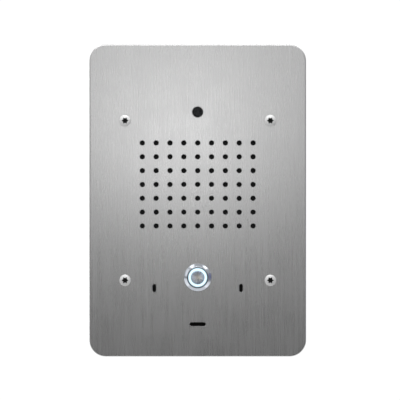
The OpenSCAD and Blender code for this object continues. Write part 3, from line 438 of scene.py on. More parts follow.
def spun_cap():
    """Turned steel: fine rings, and a painted highlight of faintly coloured fans that run out from the
    middle; a little darker towards the rim.
    """
    f = Finish("spun_steel", None, 0.36, 1.0, Anisotropic=0.70)
    radius, heading = round_place(f, (0, BUTTON_Z))
    # Painted highlight: warm fans, brightest near the middle, stand in for the star of light on the spun face
    fans = f.levels(noise_along(f, heading, 6.4), 0.25, 0.75)
    middle = f.levels(radius, 0.9, 3.4, 1.0, 0.1)
    warm_highlight = f.blend_colours(f.sum("MULTIPLY", fans, middle), (0.46, 0.55, 0.68), (0.90, 0.80, 0.54))
    # Painted reflection: faint pink tints in turns round the cap
    pink = f.node("ShaderNodeMix", data_type="RGBA")
    f.link(f.sum("MULTIPLY", noise_along(f, heading, 2.9), 0.35), pink.inputs[0])
    f.link(warm_highlight, pink.inputs[MIX_A])
    pink.inputs[MIX_B].default_value = (0.68, 0.62, 0.70, 1)
    rim = f.node("ShaderNodeMix", data_type="RGBA")
    f.link(f.levels(radius, 3.0, 4.3), rim.inputs[0])
    f.link(pink.outputs[MIX_RESULT], rim.inputs[MIX_A])
    rim.inputs[MIX_B].default_value = (0.42, 0.52, 0.63, 1)
    f.colour = rim.outputs[MIX_RESULT]
    rings = f.node("ShaderNodeCombineXYZ")
    f.link(radius, rings.inputs[0])
    f.layer(noise_along(f, rings.outputs[0], 7.0, 2.0), 0.20, 0.08, 0.003)
    # Painted highlight: lighter and darker rays round the middle
    f.layer(noise_along(f, heading, 7.0), 0.80, 0.0, 0.0)
    round_way = f.node("ShaderNodeTangent", direction_type="RADIAL", axis="Y")
    f.link(round_way.outputs[0], f.shader.inputs["Tangent"])
    return f.done()


def light_ring():
    """A diffusing ring, brightest along its middle."""
    f = Finish("light_ring", (0.20, 0.27, 0.30), 0.35, 0.0, Emission_Strength=0.90)
    middle, (radius, _) = 5.2, round_place(f, (0, BUTTON_Z))
    off_middle = f.sum("ABSOLUTE", f.sum("SUBTRACT", radius, middle))
    glow = f.blend_colours(f.levels(off_middle, 0.25, 0.95), (0.88, 1.0, 1.0), (0.50, 0.76, 0.90))
    f.link(glow, f.shader.inputs["Emission Color"])
    f.grain(0.4, 0.05, 0.1, 0.001)
    return f.done()


def lens_glass():
    f = Finish("lens_glass", (0.45, 0.50, 0.62), 0.02, 0.0, Transmission_Weight=1.0, IOR=1.6)
    f.grain((2, 2, 2), 0.04, 0.03, 0.0)
    return f.done()


def woven(name, colour, size):
    """Cloth: two sets of threads, which show where they cross."""
    f = Finish(name, colour, 0.8)
    crossed = f.sum("MULTIPLY", f.wave(size, "X"), f.wave(size, "Z", 0.2))
    f.layer(crossed, 0.9, 0.1, 0.06)
    f.grain(0.15, 0.3, 0.1, 0.01)
    return f.done()


def smoked_acrylic():
    f = Finish("smoked_acrylic", (0.003, 0.003, 0.003), 0.30, 0.0, Specular_IOR_Level=0.05)
    f.grain((1, 1, 2), 0.2, 0.08, 0.001)
    return f.done()


FINISHES["spun_steel"] = spun_cap()
FINISHES["light_ring"] = light_ring()
FINISHES["clear_glass"] = simple(
    "clear_glass", (0.01, 0.01, 0.012), 0.06, 0.0, 0.2, 0.04, 0.0, 2, Alpha=0.4, Specular_IOR_Level=0.12)
FINISHES["lens_glass"] = lens_glass()
FINISHES["smoked_acrylic"] = smoked_acrylic()
FINISHES["black_cloth"] = woven("black_cloth", (0.009, 0.009, 0.010), 0.7)
FINISHES["spider_cloth"] = woven("spider_cloth", (0.50, 0.36, 0.14), 0.9)


# --- Mesh helpers
class Piece:
    """Collects shapes, in millimetres, and makes them one named object."""

    def __init__(self):
        self.points, self.faces, self.paint = [], [], []

    def put(self, shape, paint=0):
        points, faces = shape
        start = len(self.points)
        self.points += [tuple(p) for p in points]
        self.faces += [tuple(start + i for i in face) for face in faces]
        for face in faces:
            centre = [sum(points[i][axis] for i in face) / len(face) for axis in range(3)]
            self.paint.append(paint(centre) if callable(paint) else paint)
        return self

    def make(self, name, body, slots, replaces=(), sharp=32, weighted=False, ride=True):
        mesh = bpy.data.meshes.new(name)
        mesh.from_pydata([Vector(p) * MM for p in self.points], [], self.faces)
        mesh.validate()
        for slot in slots:
            mesh.materials.append(FINISHES[slot])
        mesh.polygons.foreach_set("material_index", self.paint)
        bm = bmesh.new()
        bm.from_mesh(mesh)
        bmesh.ops.recalc_face_normals(bm, faces=bm.faces)
        bm.to_mesh(mesh)
        bm.free()
        mesh.shade_smooth()
        mesh.set_sharp_from_angle(angle=math.radians(sharp))
        obj = link(bpy.data.objects.new(name, mesh))
        if weighted:
            normals = obj.modifiers.new("normals", "WEIGHTED_NORMAL")
            normals.keep_sharp = True
            normals.weight = 100
        if replaces:
            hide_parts(*replaces)
        if ride:
            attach(obj, body)
        return obj


def loft(rows, closed=False, start_cap=True, end_cap=True):
    """Joins loops of the same number of points. A closed loft has no ends."""
    count = len(rows[0])
    points = [p for row in rows for p in row]
    faces = []
    pairs = list(range(len(rows) - 1)) + ([-1] if closed else [])
    for i in pairs:
        a, b = (i % len(rows)) * count, ((i + 1) % len(rows)) * count
        faces += [(a + k, a + (k + 1) % count, b + (k + 1) % count, b + k) for k in range(count)]
    if not closed:
        last = (len(rows) - 1) * count
        faces += [tuple(range(count))] * start_cap + [tuple(range(last, last + count))] * end_cap
    return points, faces


def lathe(profile, centre=(0, 0), sides=64, closed=False):
    """Turns (radius, y) pairs about an axis along Y. A radius may be a function of the turn, 0 to 1."""
    rows = []
    for radius, y in profile:
        row = []
        for k in range(sides):
            turn = k / sides
            r = radius(turn) if callable(radius) else radius
            row.append((centre[0] + r * math.cos(TAU * turn), y, centre[1] + r * math.sin(TAU * turn)))
        rows.append(row)
    return loft(rows, closed)


def thread(y0, y1, outer, inner, pitch, steps=8):
    """Profile rows of a screw thread, which fades out at both ends."""
    count = max(2, round((y1 - y0) / pitch * steps))
    rows = []
    for i in range(count + 1):
        y = y0 + (y1 - y0) * i / count
        fade = max(0.0, min(1.0, (y - y0) / pitch, (y1 - y) / pitch))

        def radius(turn, y=y, fade=fade):
            phase = abs((y / pitch - turn) % 1 - 0.5)
            ridge = min(1.0, max(0.0, 1.25 - 2.9 * phase))
            return inner + (outer - inner) * ridge * fade

        rows.append((radius, y))
    return rows


def six_lobe(across):
    """Outline of a six-lobed recess, as a radius for each turn."""
    flute, reach = 0.22 * across, 0.572 * across

    def radius(turn):
        angle = math.radians(math.degrees(TAU * turn) % 60 - 30)
        side = reach * math.sin(angle)
        if abs(side) < flute:
            return min(across / 2, reach * math.cos(angle) - math.sqrt(flute**2 - side**2))
        return across / 2

    return radius


# --- Face plate
def rounded_outline(w, h, r, steps=14):
    points = []
    for cx, cz, start in ((1, 1, 0), (-1, 1, 90), (-1, -1, 180), (1, -1, 270)):
        for k in range(steps + 1):
            a = math.radians(start + 90 * k / steps)
            points.append((cx * (w / 2 - r) + r * math.cos(a), cz * (h / 2 - r) + r * math.sin(a)))
    return points


def circle_outline(r, steps=48):
    return [(r * math.cos(TAU * k / steps), r * math.sin(TAU * k / steps)) for k in range(steps)]


def edge_stations(radius, steps=3):
    """(offset, depth) pairs round a broken edge, from the face to the wall."""
    turns = [math.pi / 2 * k / steps for k in range(steps + 1)]
    return [(-radius * (1 - math.sin(a)), radius * (1 - math.cos(a))) for a in turns]


# Where the sheet's outer edge rolls away: (offset into the metal, depth)
ROLLED_EDGE = [(1.0, 0.0), (0.75, 0.012), (0.5, 0.045), (0.3, 0.10), (0.14, 0.19), (0.04, 0.30), (0.0, 0.45)]


def plate_loops():
    """The plate's outlines: (function of the offset into the metal, front edge, back edge, sink)."""
    loops = []

    def add(outline, centre, front, back, sink=None):
        loops.append((outline, centre, front, back, sink))

    add(lambda o: rounded_outline(PLATE_W - 2 * o, PLATE_H - 2 * o, PLATE_CORNER - o), (0, 0), 0.35, 0.2)
    for column in range(-4, 5):
        for row in range(-3, 4):
            centre = (column * SOUND_PITCH, SPEAKER_Z + row * SOUND_PITCH)
            add(lambda o: circle_outline(SOUND_HOLE_R + o, 32), centre, 0.14, 0.08)
    for x in (-SLOT_X, SLOT_X):
        add(lambda o: rounded_outline(2.3 + 2 * o, 5.3 + 2 * o, 1.149 + o, 8), (x, SLOT_Z), 0.25, 0.08)
    add(lambda o: rounded_outline(10.5 + 2 * o, 2.5 + 2 * o, 1.249 + o, 8), (0, MIC_Z), 0.25, 0.08)
    add(lambda o: circle_outline(CAMERA_HOLE_R + o), (0, CAMERA_Z), 0.28, 0.1)
    add(lambda o: circle_outline(BUTTON_HOLE_R + o, 64), (0, BUTTON_Z), 0.1, 0.1)
    for place in SCREWS:
        add(lambda o: circle_outline(SCREW_HOLE_R + o), place, 0.0, 0.1, COUNTERSINK_R)
    return loops


def face_plate():
    piece = Piece()
    front_loops, back_loops = [], []
    for outline, centre, front, back, sink in plate_loops():
        def ring(offset, y):
            return [(centre[0] + x, y, centre[1] + z) for x, z in outline(offset)]

        if sink:
            mouth = sink - SCREW_HOLE_R
            stations = [(mouth + 0.08, PLATE_FRONT), (mouth - 0.05, PLATE_FRONT + 0.05)]
            stations += [(0, PLATE_FRONT + mouth)]
        else:
            stations = [(-o, PLATE_FRONT + d) for o, d in edge_stations(front)]
            if centre == (0, 0):
                stations = [(o, PLATE_FRONT + d) for o, d in ROLLED_EDGE]
        stations += [(-o, PLATE_BACK - d) for o, d in reversed(edge_stations(back, 2))]
        rows = [ring(o, y) for o, y in stations]
        piece.put(loft(rows, start_cap=False, end_cap=False))
        front_loops.append(rows[0])
        back_loops.append(rows[-1])
    for loops in (front_loops, back_loops):
        flat, rims = [], []
        for loop in loops:
            rims.append(list(range(len(flat), len(flat) + len(loop))))
            flat += [Vector((p[0], p[2])) for p in loop]
        points, _, faces, _, _, within = geometry.delaunay_2d_cdt(flat, [], rims, 1, 1e-5)
        y = loops[0][0][1]
        metal = [face for face, rings in zip(faces, within) if rings == [0]]
        piece.put(([(p.x, y, p.y) for p in points], metal))
    obj = piece.make("face_plate_sheet", "panel", ["plate_steel"], ["face_plate"], weighted=True)
    weld = obj.modifiers.new("weld", "WELD")
    weld.merge_threshold = 1e-6
    obj.modifiers.move(1, 0)


face_plate()


# --- Panel screws
def panel_screws():
    piece = Piece()
    head, dome, depth, sides = SCREW_HEAD_R, 0.35, 1.7, 96
    lobes = six_lobe(RECESS_ACROSS)
    for place in SCREWS:
        def dome_y(r):
            return PLATE_FRONT - dome * (1 - (r / head) ** 3)

        floor = PLATE_FRONT - dome + depth
        inside = lambda turn: lobes(turn) * 0.96
        rows = [(0.05, floor + 0.45), (0.9, floor), (inside, floor)]
        points, faces = lathe(rows, place, sides)
        top = []
        for part in (0.0, 0.03, 0.2, 0.5, 0.8, 0.95, 1.0):
            row = []
            for k in range(sides):
                turn = k / sides
                r = lobes(turn) + 0.03 + (head - 0.05 - lobes(turn)) * part
                y = dome_y(r) + (0.07 if part == 0.0 else 0.0)
                row.append((place[0] + r * math.cos(TAU * turn), y, place[1] + r * math.sin(TAU * turn)))
            top.append(row)
        start = len(points)
        last_inner = start - sides
        for row in top:
            points = points + row
        for i in range(-1, len(top) - 1):
            a = last_inner if i < 0 else start + i * sides
            b = start + (i + 1) * sides
            faces += [(a + k, a + (k + 1) % sides, b + (k + 1) % sides, b + k) for k in range(sides)]
        body = [(head, PLATE_FRONT + 0.04), (1.6, PLATE_FRONT + 2.1)]
        body += thread(-0.9, 12.9, 2.0, 1.6, 0.7)
        body += [(1.45, 13.0), (0.02, 13.0)]
        shank = lathe(body, place, sides)
        # The recess keeps its bottom and the shank its point; their other ends are joined instead
        faces = [f for f in faces if len(f) < sides or f[0] == 0]
        shank_faces = [f for f in shank[1] if len(f) < sides or f[0] != 0]
        join = len(points)
        points = points + shank[0]
        faces = faces + [tuple(join + i for i in f) for f in shank_faces]
        a, b = join - sides, join
        faces += [(a + k, a + (k + 1) % sides, b + (k + 1) % sides, b + k) for k in range(sides)]

        # Painted shade: faces inside the recess take the near-black finish
        def recess_shade_mask(p):
            near = math.hypot(p[0] - place[0], p[2] - place[1]) < 2.2
            return int(near and PLATE_FRONT - 0.1 < p[1] < PLATE_BACK)

        piece.put((points, faces), recess_shade_mask)
    piece.make("panel_screws_threaded", "panel", ["screw_steel", "recess_painted_shade"], ["panel_screws"])


panel_screws()


# --- More shapes
def slab(outline, y0, y1, bevel=0.1, place=(0, 0), turn=0.0):
    """A solid with broken edges. The outline is a function of how far it is drawn in."""
    c, s = math.cos(math.radians(turn)), math.sin(math.radians(turn))
    rows = []
    for inset, y in ((bevel, y0), (0, y0 + bevel), (0, y1 - bevel), (bevel, y1)):
        rows.append([(place[0] + x * c - z * s, y, place[1] + x * s + z * c) for x, z in outline(inset)])
    return loft(rows)


def block(place, size, y0, y1, bevel=0.1, corner=0.2, turn=0.0):
    w, h = size
    shape = lambda o: rounded_outline(w - 2 * o, h - 2 * o, max(corner - o, 0.02), 3)
    return slab(shape, y0, y1, bevel, place, turn)


def hexagon(across_flats, limit=1e9):
    """Radius of a hexagon for each turn, with its corners cut back to a limit."""
    return lambda turn: min(across_flats / 2 / math.cos(math.radians(360 * turn % 60 - 30)), limit)


def nut(place, y0, y1, across_flats, bore, bevel=None):
    """A hexagon with chamfered corners and a countersunk bore."""
    corner = across_flats / 2 / math.cos(math.pi / 6)
    bevel = bevel or (corner - across_flats / 2) * 0.6
    rows = [(bore, y0 + 0.2), (bore + 0.2, y0)]
    for part in (0, 0.3, 0.6, 1):
        limit = across_flats / 2 * 0.97 + (corner - across_flats / 2 * 0.97) * part
        rows.append((hexagon(across_flats, limit), y0 + bevel * part))
    rows += [(radius, y1 - (y - y0)) for radius, y in reversed(rows)]
    return lathe(rows, place, 96, closed=True)


def tube(path, r, sides=12):
    """A round bar along a path, whose section doesn't twist."""
    rows, across = [], None
    for i, point in enumerate(path):
        along = (path[min(i + 1, len(path) - 1)] - path[max(i - 1, 0)]).normalized()
        across = along.orthogonal() if across is None else across
        across = (across - along * across.dot(along)).normalized()
        up = along.cross(across)
        turns = [TAU * k / sides for k in range(sides)]
        rows.append([point + (across * math.cos(a) + up * math.sin(a)) * r for a in turns])
    return loft(rows)


def strip(path, across, width, thick):
    """A flat ribbon along a path, whose width lies along "across"."""
    across, rows = Vector(across).normalized(), []
    path = [Vector(p) for p in path]
    for i, point in enumerate(path):
        along = (path[min(i + 1, len(path) - 1)] - path[max(i - 1, 0)]).normalized()
        w, t = across * width / 2, along.cross(across) * thick / 2
        rows.append([point + w + t, point - w + t, point - w - t, point + w - t])
    return loft(rows)


# --- Call button
def call_button():
    place = (0, BUTTON_Z)
    bezel = [(6.6, -7.1), (6.65, -7.3), (6.78, -7.4), (6.92, -7.4), (7.02, -7.36), (8.76, -6.16)]
    bezel += [(8.9, -6.04), (8.95, -5.92), (8.95, -5.62), (8.85, -5.5), (8.0, -5.5)]
    bezel += thread(-5.4, 9.8, 7.95, 7.45, 1.0) + [(7.3, 10), (6.85, 10), (6.85, 4.5), (2.65, 4.5)]
    bezel += [(2.58, 4.4), (2.58, 3.1), (2.65, 3), (6.6, 3)]
    Piece().put(lathe(bezel, place, 128, closed=True)).make(
        "bezel_and_barrel", "panel", ["chromed_steel"], ["button_housing"], sharp=24)
    cap = [(0.02, -7.86), (1.5, -7.865), (2.9, -7.88), (3.95, -7.9), (4.15, -7.89), (4.3, -7.83)]
    Piece().put(lathe(cap + [(4.38, -7.7), (4.38, -6.92), (0.02, -6.92)], place, 96)).make(
        "spun_cap", "call_button", ["spun_steel"], ["button_cap"], sharp=24)
    glow = [(4.4, -6.02), (4.4, -7.62), (4.52, -7.74), (4.7, -7.75), (5.85, -7.75), (6.02, -7.7)]
    Piece().put(lathe(glow + [(6.1, -7.55), (6.1, -6.02)], place, 96, closed=True)).make(
        "light_ring_moulding", "call_button", ["light_ring"], ["button_light_ring"], sharp=24)
    piece = Piece().put(nut(place, -1.2, 1.8, 19, 7.99))
    piece.make("barrel_nut", "panel", ["plated_steel"], ["button_nut"])
    turns, steps, coil_r, path = 4.5, 28, 4.4, []
    for i in range(int(turns * steps) + 1):
        a = TAU * i / steps
        y = -2.16 + 4.82 * i / (turns * steps)
        path.append(Vector((coil_r * math.cos(a), y, BUTTON_Z + coil_r * math.sin(a))))
    spring = Piece().put(tube(path, 0.32, 10)).make(
        "return_spring", "panel", ["spring_steel"], ["button_spring"])
    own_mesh(spring)


# --- Fixings
def fixings():
    studs = Piece()
    for places, y1 in ((CARRIER_STUDS, 8.8), (CAMERA_STUDS, 2.8), (STANDOFFS, 3.0)):
        for place in places:
            rows = [(0.02, -2), (1.5, -2), (1.5, -1.6)] + thread(-1.5, y1 - 0.1, 1.5, 1.24, 0.5, 6)
            studs.put(lathe(rows + [(1.2, y1), (0.02, y1)], place, 24))
    studs.make("weld_studs_threaded", "panel", ["copper_flash"], ["weld_studs"])
    nuts = Piece()
    for place in CARRIER_STUDS:
        nuts.put(nut(place, 5, 7.4, 5.5, 1.53))
    for place in CAMERA_STUDS:
        nuts.put(nut(place, -1, 1.4, 5.5, 1.53))
    nuts.make("stud_nuts_chamfered", "panel", ["plated_steel"], ["stud_nuts"])
    posts = Piece()
    for place in STANDOFFS:
        posts.put(nut(place, -2, 14, 5.5, 1.53, 0.35))
    posts.make("standoffs_chamfered", "panel", ["brass"], ["board_standoffs"])


# --- Parts on the board
def chips():
    piece = Piece()
    for x, z, w, h, t in CHIPS:
        top = BOARD_BACK + t
        middle = BOARD_BACK + t * 0.5
        piece.put(block((x, z), (w, h), BOARD_BACK + 0.1, top, 0.14, 0.2))
        piece.put(slab(lambda o: circle_outline(0.35 - o, 16), top - 0.05, top + 0.015, 0.01,
                       (x - w / 2 + 0.9, z + h / 2 - 0.9)), 2)
        leg = [(-0.1, middle), (0.3, middle), (0.42, BOARD_BACK + 0.1), (0.95, BOARD_BACK + 0.07)]
        four_sided = w >= 7 and w == h
        pitch = 0.8 if four_sided else 1.27
        for side, reach, span in ((0, w, h), (1, h, w))[: 2 if four_sided else 1]:
            count = int((span - 0.8) / pitch)
            for sign in (-1, 1):
                for k in range(count):
                    along = (k - (count - 1) / 2) * pitch
                    path = []
                    for out, y in leg:
                        across = sign * (reach / 2 + out)
                        path.append((x + (across, along)[side], y, z + (along, across)[side]))
                    piece.put(strip(path, ((0, 0, 1), (1, 0, 0))[side], pitch * 0.42, 0.13), 1)
    for x, z, dx, dz, count in PASSIVES:
        for k in range(count):
            place, turn = (x + dx * k, z + dz * k), 90 if dx else 0
            low, top = BOARD_BACK + 0.02, BOARD_BACK + (0.45 + 0.3 * (k % 2))
            piece.put(block(place, (1.0, 0.8), low, top, 0.05, 0.08, turn), 3 * (k % 2))
            for sign in (-1, 1):
                c, s = math.cos(math.radians(turn)), math.sin(math.radians(turn))
                end = (place[0] + sign * 0.62 * c, place[1] + sign * 0.62 * s)
                piece.put(block(end, (0.36, 0.84), BOARD_BACK, top + 0.02, 0.05, 0.08, turn), 1)
    piece.make("chips_with_legs", "panel",
               ["gloss_black_plastic", "jack_shield", "ivory_plastic", "fibre_strip"], ["board_chips"])


def capacitors():
    piece = Piece()
    for x, z, r, h in CAPACITORS:
        top = BOARD_BACK + h
        rows = [(0.02, BOARD_BACK), (r * 0.93, BOARD_BACK), (r, BOARD_BACK + 0.35), (r, BOARD_BACK + 1.3)]
        rows += [(r * 0.95, BOARD_BACK + 1.6), (r, BOARD_BACK + 1.9), (r, top - 0.45), (r * 0.97, top - 0.14)]
        rows += [(r * 0.9, top), (r * 0.8, top), (r * 0.79, top - 0.12), (0.02, top - 0.12)]

        def paint(p):
            inside = math.hypot(p[0] - x, p[2] - z) < r * 0.79
            stripe = p[0] - x > r * 0.80 and p[1] < top - 0.4
            return 1 if inside and p[1] > top - 0.3 else 2 if stripe else 0

        piece.put(lathe(rows, (x, z), 48), paint)
        for turn in (45, 135):
            piece.put(block((x, z), (r * 1.4, 0.14), top - 0.13, top - 0.1, 0.01, 0.03, turn), 3)
    piece.make("capacitors_sleeved", "panel",
               ["capacitor_sleeve", "jack_shield", "ivory_plastic", "black_plastic"], ["capacitors"])


def connectors_and_jack():
    back, radius = 26.1, 1.93
    barrel = [(0.02, back - 4.9), (radius, back - 4.9), (radius, back - 1.88), (0.02, back - 1.88)]
    screws = Piece()
    for i in range(6):
        place = (TERMINAL_X, TERMINAL_Z + (i - 2.5) * 5.08)
        screws.put(lathe(barrel, place, 40))
        for side in (-1, 1):
            def half(inset):
                turns = [math.radians(-90 + 7.5 * k) for k in range(25)]
                r = radius - inset
                return [(side * max(0.33, r * math.cos(a)), r * math.sin(a)) for a in turns]

            screws.put(slab(half, back - 1.95, back - 0.78, 0.1, place))
    screws.make("terminal_screws", "panel", ["plated_steel"])
    jack = Piece()
    end = BOARD_BACK + 14
    rows = []
    for y in (end - 0.02, end - 10.9):
        rows.append([(JACK_X + x, y, JACK_Z + z) for x, z in rounded_outline(11.7, 8.1, 0.3, 2)])
    jack.put(loft(rows, start_cap=False))
    for i in range(8):
        x = JACK_X + (i - 3.5) * 1.02
        path = [(x, end - 2.4, -16.35), (x, end - 3.4, -16.6), (x, end - 7.5, -18.2), (x, end - 10.8, -19.2)]
        jack.put(strip(path, (1, 0, 0), 0.42, 0.3), 1)
    for sign in (-1, 1):
        jack.put(block((JACK_X + sign * 6.6, -27.3), (1.9, 0.9), end - 0.4, end, 0.1, 0.1), 2)
    jack.make("jack_insert", "panel", ["black_plastic", "contact_brass", "lamp_epoxy"])


def trimmer_marks():
    """An arrow beside each rotor's recess, and two thin black bars at the bottom of the recess: painted shade
    in the driver slot.
    """
    top = BOARD_BACK + 5.1
    for body, z in TRIMMERS:
        piece = Piece()
        piece.put(slab(lambda o: [(0.5 - o, 2.5 + o), (0, 3.05 - 2 * o), (o - 0.5, 2.5 + o)],
                       top - 0.02, top + 0.02, 0.01, (TRIMMER_X, z)))
        # Painted shade: black bars at the bottom of the cross-shaped slot, where shade falls
        for turn in (0, 90):
            piece.put(block((TRIMMER_X, z), (4.6, 0.56), top - 0.9, top - 0.86, 0.01, 0.05, turn))
        piece.make(f"{body}_arrow_and_slot_shade", body, ["black_plastic"])


def track(points, width=0.34):
    """A raised copper track along points (x, z) on the back of the board."""
    rows = []
    points = [Vector(p) for p in points]
    for i, p in enumerate(points):
        along = (points[min(i + 1, len(points) - 1)] - points[max(i - 1, 0)]).normalized()
        side = Vector((-along.y, along.x)) * width * 0.54
        rows.append([(q.x, y, q.y) for q, y in (
            (p + side, BOARD_BACK - 0.02), (p + side, BOARD_BACK + 0.035),
            (p - side, BOARD_BACK + 0.035), (p - side, BOARD_BACK - 0.02))])
    return loft(rows)


def board_print():
    piece, sunk, proud = Piece(), BOARD_BACK - 0.02, BOARD_BACK + 0.03
    for path, step, count in TRACKS:
        for k in range(count):
            moved = [(x + step[0] * k, z + step[1] * k) for x, z in path]
            piece.put(track(moved), 3)
            for end in (moved[0], moved[-1]):
                piece.put(slab(lambda o: circle_outline(0.42 - o, 14), sunk, BOARD_BACK + 0.05, 0.01, end), 2)
    frames = [(x, z, w + 2.6, h + (2.6 if w == h and w >= 7 else 0.9)) for x, z, w, h, _ in CHIPS]
    frames += [(x, z, 2 * r + 0.8, 2 * r + 0.8) for x, z, r, _ in CAPACITORS]
    frames += [(0, -24, 20.2, 16.4), (JACK_X, JACK_Z, 17.2, 17.2), (TERMINAL_X, TERMINAL_Z, 10.2, 32.2)]
    frames += [(TRIMMER_X, z, 10.7, 10.7) for _, z in TRIMMERS] + [(50.2, 8, 7.2, 14.0)]
    for x, z, w, h in frames:
        for sx, sz, fw, fh in ((0, 1, w, 0.18), (0, -1, w, 0.18), (1, 0, 0.18, h), (-1, 0, 0.18, h)):
            piece.put(block((x + sx * w / 2, z + sz * h / 2), (fw, fh), sunk, proud, 0.01, 0.03), 1)
    for place in STANDOFFS:
        rows = [(1.7, sunk), (3.6, sunk), (3.6, proud), (1.7, proud)]
        piece.put(lathe(rows, place, 40, closed=True), 2)
    piece.make("board_tracks_and_print", "panel",
               ["board_green", "ivory_plastic", "contact_brass", "track_green"])


# Rows of small resistors and capacitors: first place, step and count
PASSIVES = [
    (-42, -36.5, 2.4, 0, 6), (24.5, 18, 0, -2.4, 6), (41, 14, 0, 2.4, 3), (-21.5, -34, 0, -2.5, 4),
    (21, -60, 0, 2.3, 3), (-39, -11, 2.3, 0, 5), (19, 36.5, -2.3, 0, 5), (44, -34, 2.2, 0, 3),
]
# Tracks: a path, the step to its neighbour and their number
TRACKS = [
    ([(-25.5, -28), (-18, -28), (-15, -31), (-11, -31)], (0, 1.1), 3),
    ([(-38, -15.5), (-38, -8), (-36.5, -6.5), (-36.5, -1.8)], (1.2, 0), 4),
    ([(-36, 5.2), (-36, 9), (-32, 13), (-32, 14.6)], (1.1, 0), 3),
    ([(-31, 21.6), (-31, 24), (-29.5, 25.5), (-29.5, 26.8)], (1.1, 0), 3),
    ([(-34, -32.6), (-34, -35.4)], (1.1, 0), 7),
    ([(-30.5, -38), (-30.5, -40), (-28.5, -42), (-28.5, -43.4)], (1.1, 0), 4),
    ([(-27, -51), (-27, -58), (-19, -66), (-17, -66)], (1.0, 0.5), 3),
    ([(-41, 21), (-37, 21), (-35.5, 19.5), (-34, 19.5)], (0, -1.2), 3),
    ([(-41, 6), (-39.5, 4.5), (-39.5, 3.6)], (-0.2, -1.3), 2),
    ([(29, 21.8), (29, 17), (32, 14), (32, 12.4)], (1.2, 0), 4),
    ([(32, 3.4), (32, 1), (31, 0), (31, -2.4)], (1.1, 0), 3),
    ([(35.8, -4), (38, -4), (41, -7), (41, -11)], (0, -1.1), 4),
    ([(30.5, -9.6), (30.5, -15), (22.5, -23), (22.5, -27), (20, -27)], (-1.0, -0.6), 3),
    ([(46, 9), (42, 9), (40.5, 7.5), (39, 7.5)], (0, -1.4), 3),
    ([(21.5, -41), (18, -37.5), (18, -32.5)], (1.1, 0), 3),
    ([(9, -67), (4, -67), (2, -69), (-6, -69)], (0, -1.2), 3),
    ([(24.5, 32), (19.5, 35), (-18, 35), (-20, 33), (-22.5, 33)], (0, 1.15), 5),
    ([(36.5, -42), (30, -42)], (0, 1.2), 2),
    ([(52, -34), (52, -2), (53, -1), (53, 22), (47, 28)], (-0.9, 0), 2),
    ([(-52.5, 0.5), (-52.5, 30), (-47, 35.5), (-43, 35.5)], (1.0, 0), 2),
]


# --- Leads
def smooth(route, steps):
    """Points on the curve that runs smoothly through a route."""
    route, points = [Vector(p) for p in route], []
    for i in range(len(route) - 1):
        a, b, c, d = route[max(i - 1, 0)], route[i], route[i + 1], route[min(i + 2, len(route) - 1)]
        for t in (k / steps for k in range(steps)):
            bend = (2 * a - 5 * b + 4 * c - d) * t**2 + (3 * b - a - 3 * c + d) * t**3
            points.append(0.5 * (2 * b + (c - a) * t + bend))
    return points + [route[-1]]


def lead(name, node, route, starts, ends, r, slots, steps=10):
    """Wires that share a route, each offset by its start at the component and its end at the plug."""
    piece, segments = Piece(), len(route) - 1
    for wire, (start, end) in enumerate(zip(starts, ends)):
        points = []
        for i, point in enumerate(smooth(route, steps)):
            t = min(max((i / steps - 1) / (segments - 2), 0), 1)
            part = t * t * (3 - 2 * t)
            points.append(point + Vector(start) * (1 - part) + Vector(end) * part)
        piece.put(tube(points, r), wire)
    piece.make(name, "panel", slots, [node])


def leads():
    plug = 25.2
    route = [(-12.8, 20.6, -2.4), (-13, 23, -2.6), (-16, 25, -4.5), (-20, 26.5, -6.6), (-24.5, 28, -8.2)]
    route += [(-27.4, 28, -8.9), (-28, 27, -9), (-28, 26.1, -9), (-28, plug, -9)]
    starts = [(-1.838, 0, 1.838), (1.838, 0, -1.838)]
    lead("speaker_wires", "speaker_lead", route, starts, [(0, 0, 1.25), (0, 0, -1.25)], 0.6,
         ["red_wire", "black_wire"])
    route = [(0, 22, -50), (0.2, 25, -50), (3.5, 28, -49.6), (10, 30, -48.2), (18, 30.4, -46.8)]
    route += [(24, 29.8, -46.1), (26, 28, -46), (26, 26.6, -46), (26, plug, -46)]
    starts = [(-3.5, 0, 4.2), (3.5, 0, 1.5), (3.5, 0, -1.5), (-3.5, 0, -4.2)]
    lead("button_wires", "button_lead", route, starts, [(0, 0, v) for v in (3.75, 1.25, -1.25, -3.75)], 0.6,
         ["blue_wire", "red_wire", "black_wire", "grey_wire"])
    route = [(0, 7.2, -80.4), (0, 10, -80.6), (-1, 14.5, -81.2), (-3.4, 20, -80.6), (-7.6, 25.4, -77.4)]
    route += [(-11, 28.4, -73), (-12, 27.8, -70), (-12, plug, -69.5)]
    lead("microphone_wires", "microphone_lead", route, [(1.3, 0, 0), (-1.3, 0, 0)],
         [(1.25, 0, 0), (-1.25, 0, 0)], 0.55, ["grey_wire", "red_wire"])


# --- Soft parts
def sectors(name, node, slot_name, profile, outer, inner, count=8, steps=10):
    """Turns a closed profile of (radius, y), which runs between the basket and the cone, in pieces round the
    axis.
    """
    for part in range(count):
        rows = []
        for k in range(steps + 1):
            a = TAU * (part + k / steps) / count
            rows.append([(r * math.cos(a), y, SPEAKER_Z + r * math.sin(a)) for r, y in profile])
        obj = Piece().put(loft(rows)).make(f"{name}_{part + 1}", "panel", [slot_name], [node], ride=False)
        middle = TAU * (part + 0.5) / count
        start, end = (((r * math.cos(middle)) * MM, 0.006, (SPEAKER_Z + r * math.sin(middle)) * MM)
                      for r in (outer, inner))
        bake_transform(obj)
        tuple(start)
        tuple(end)


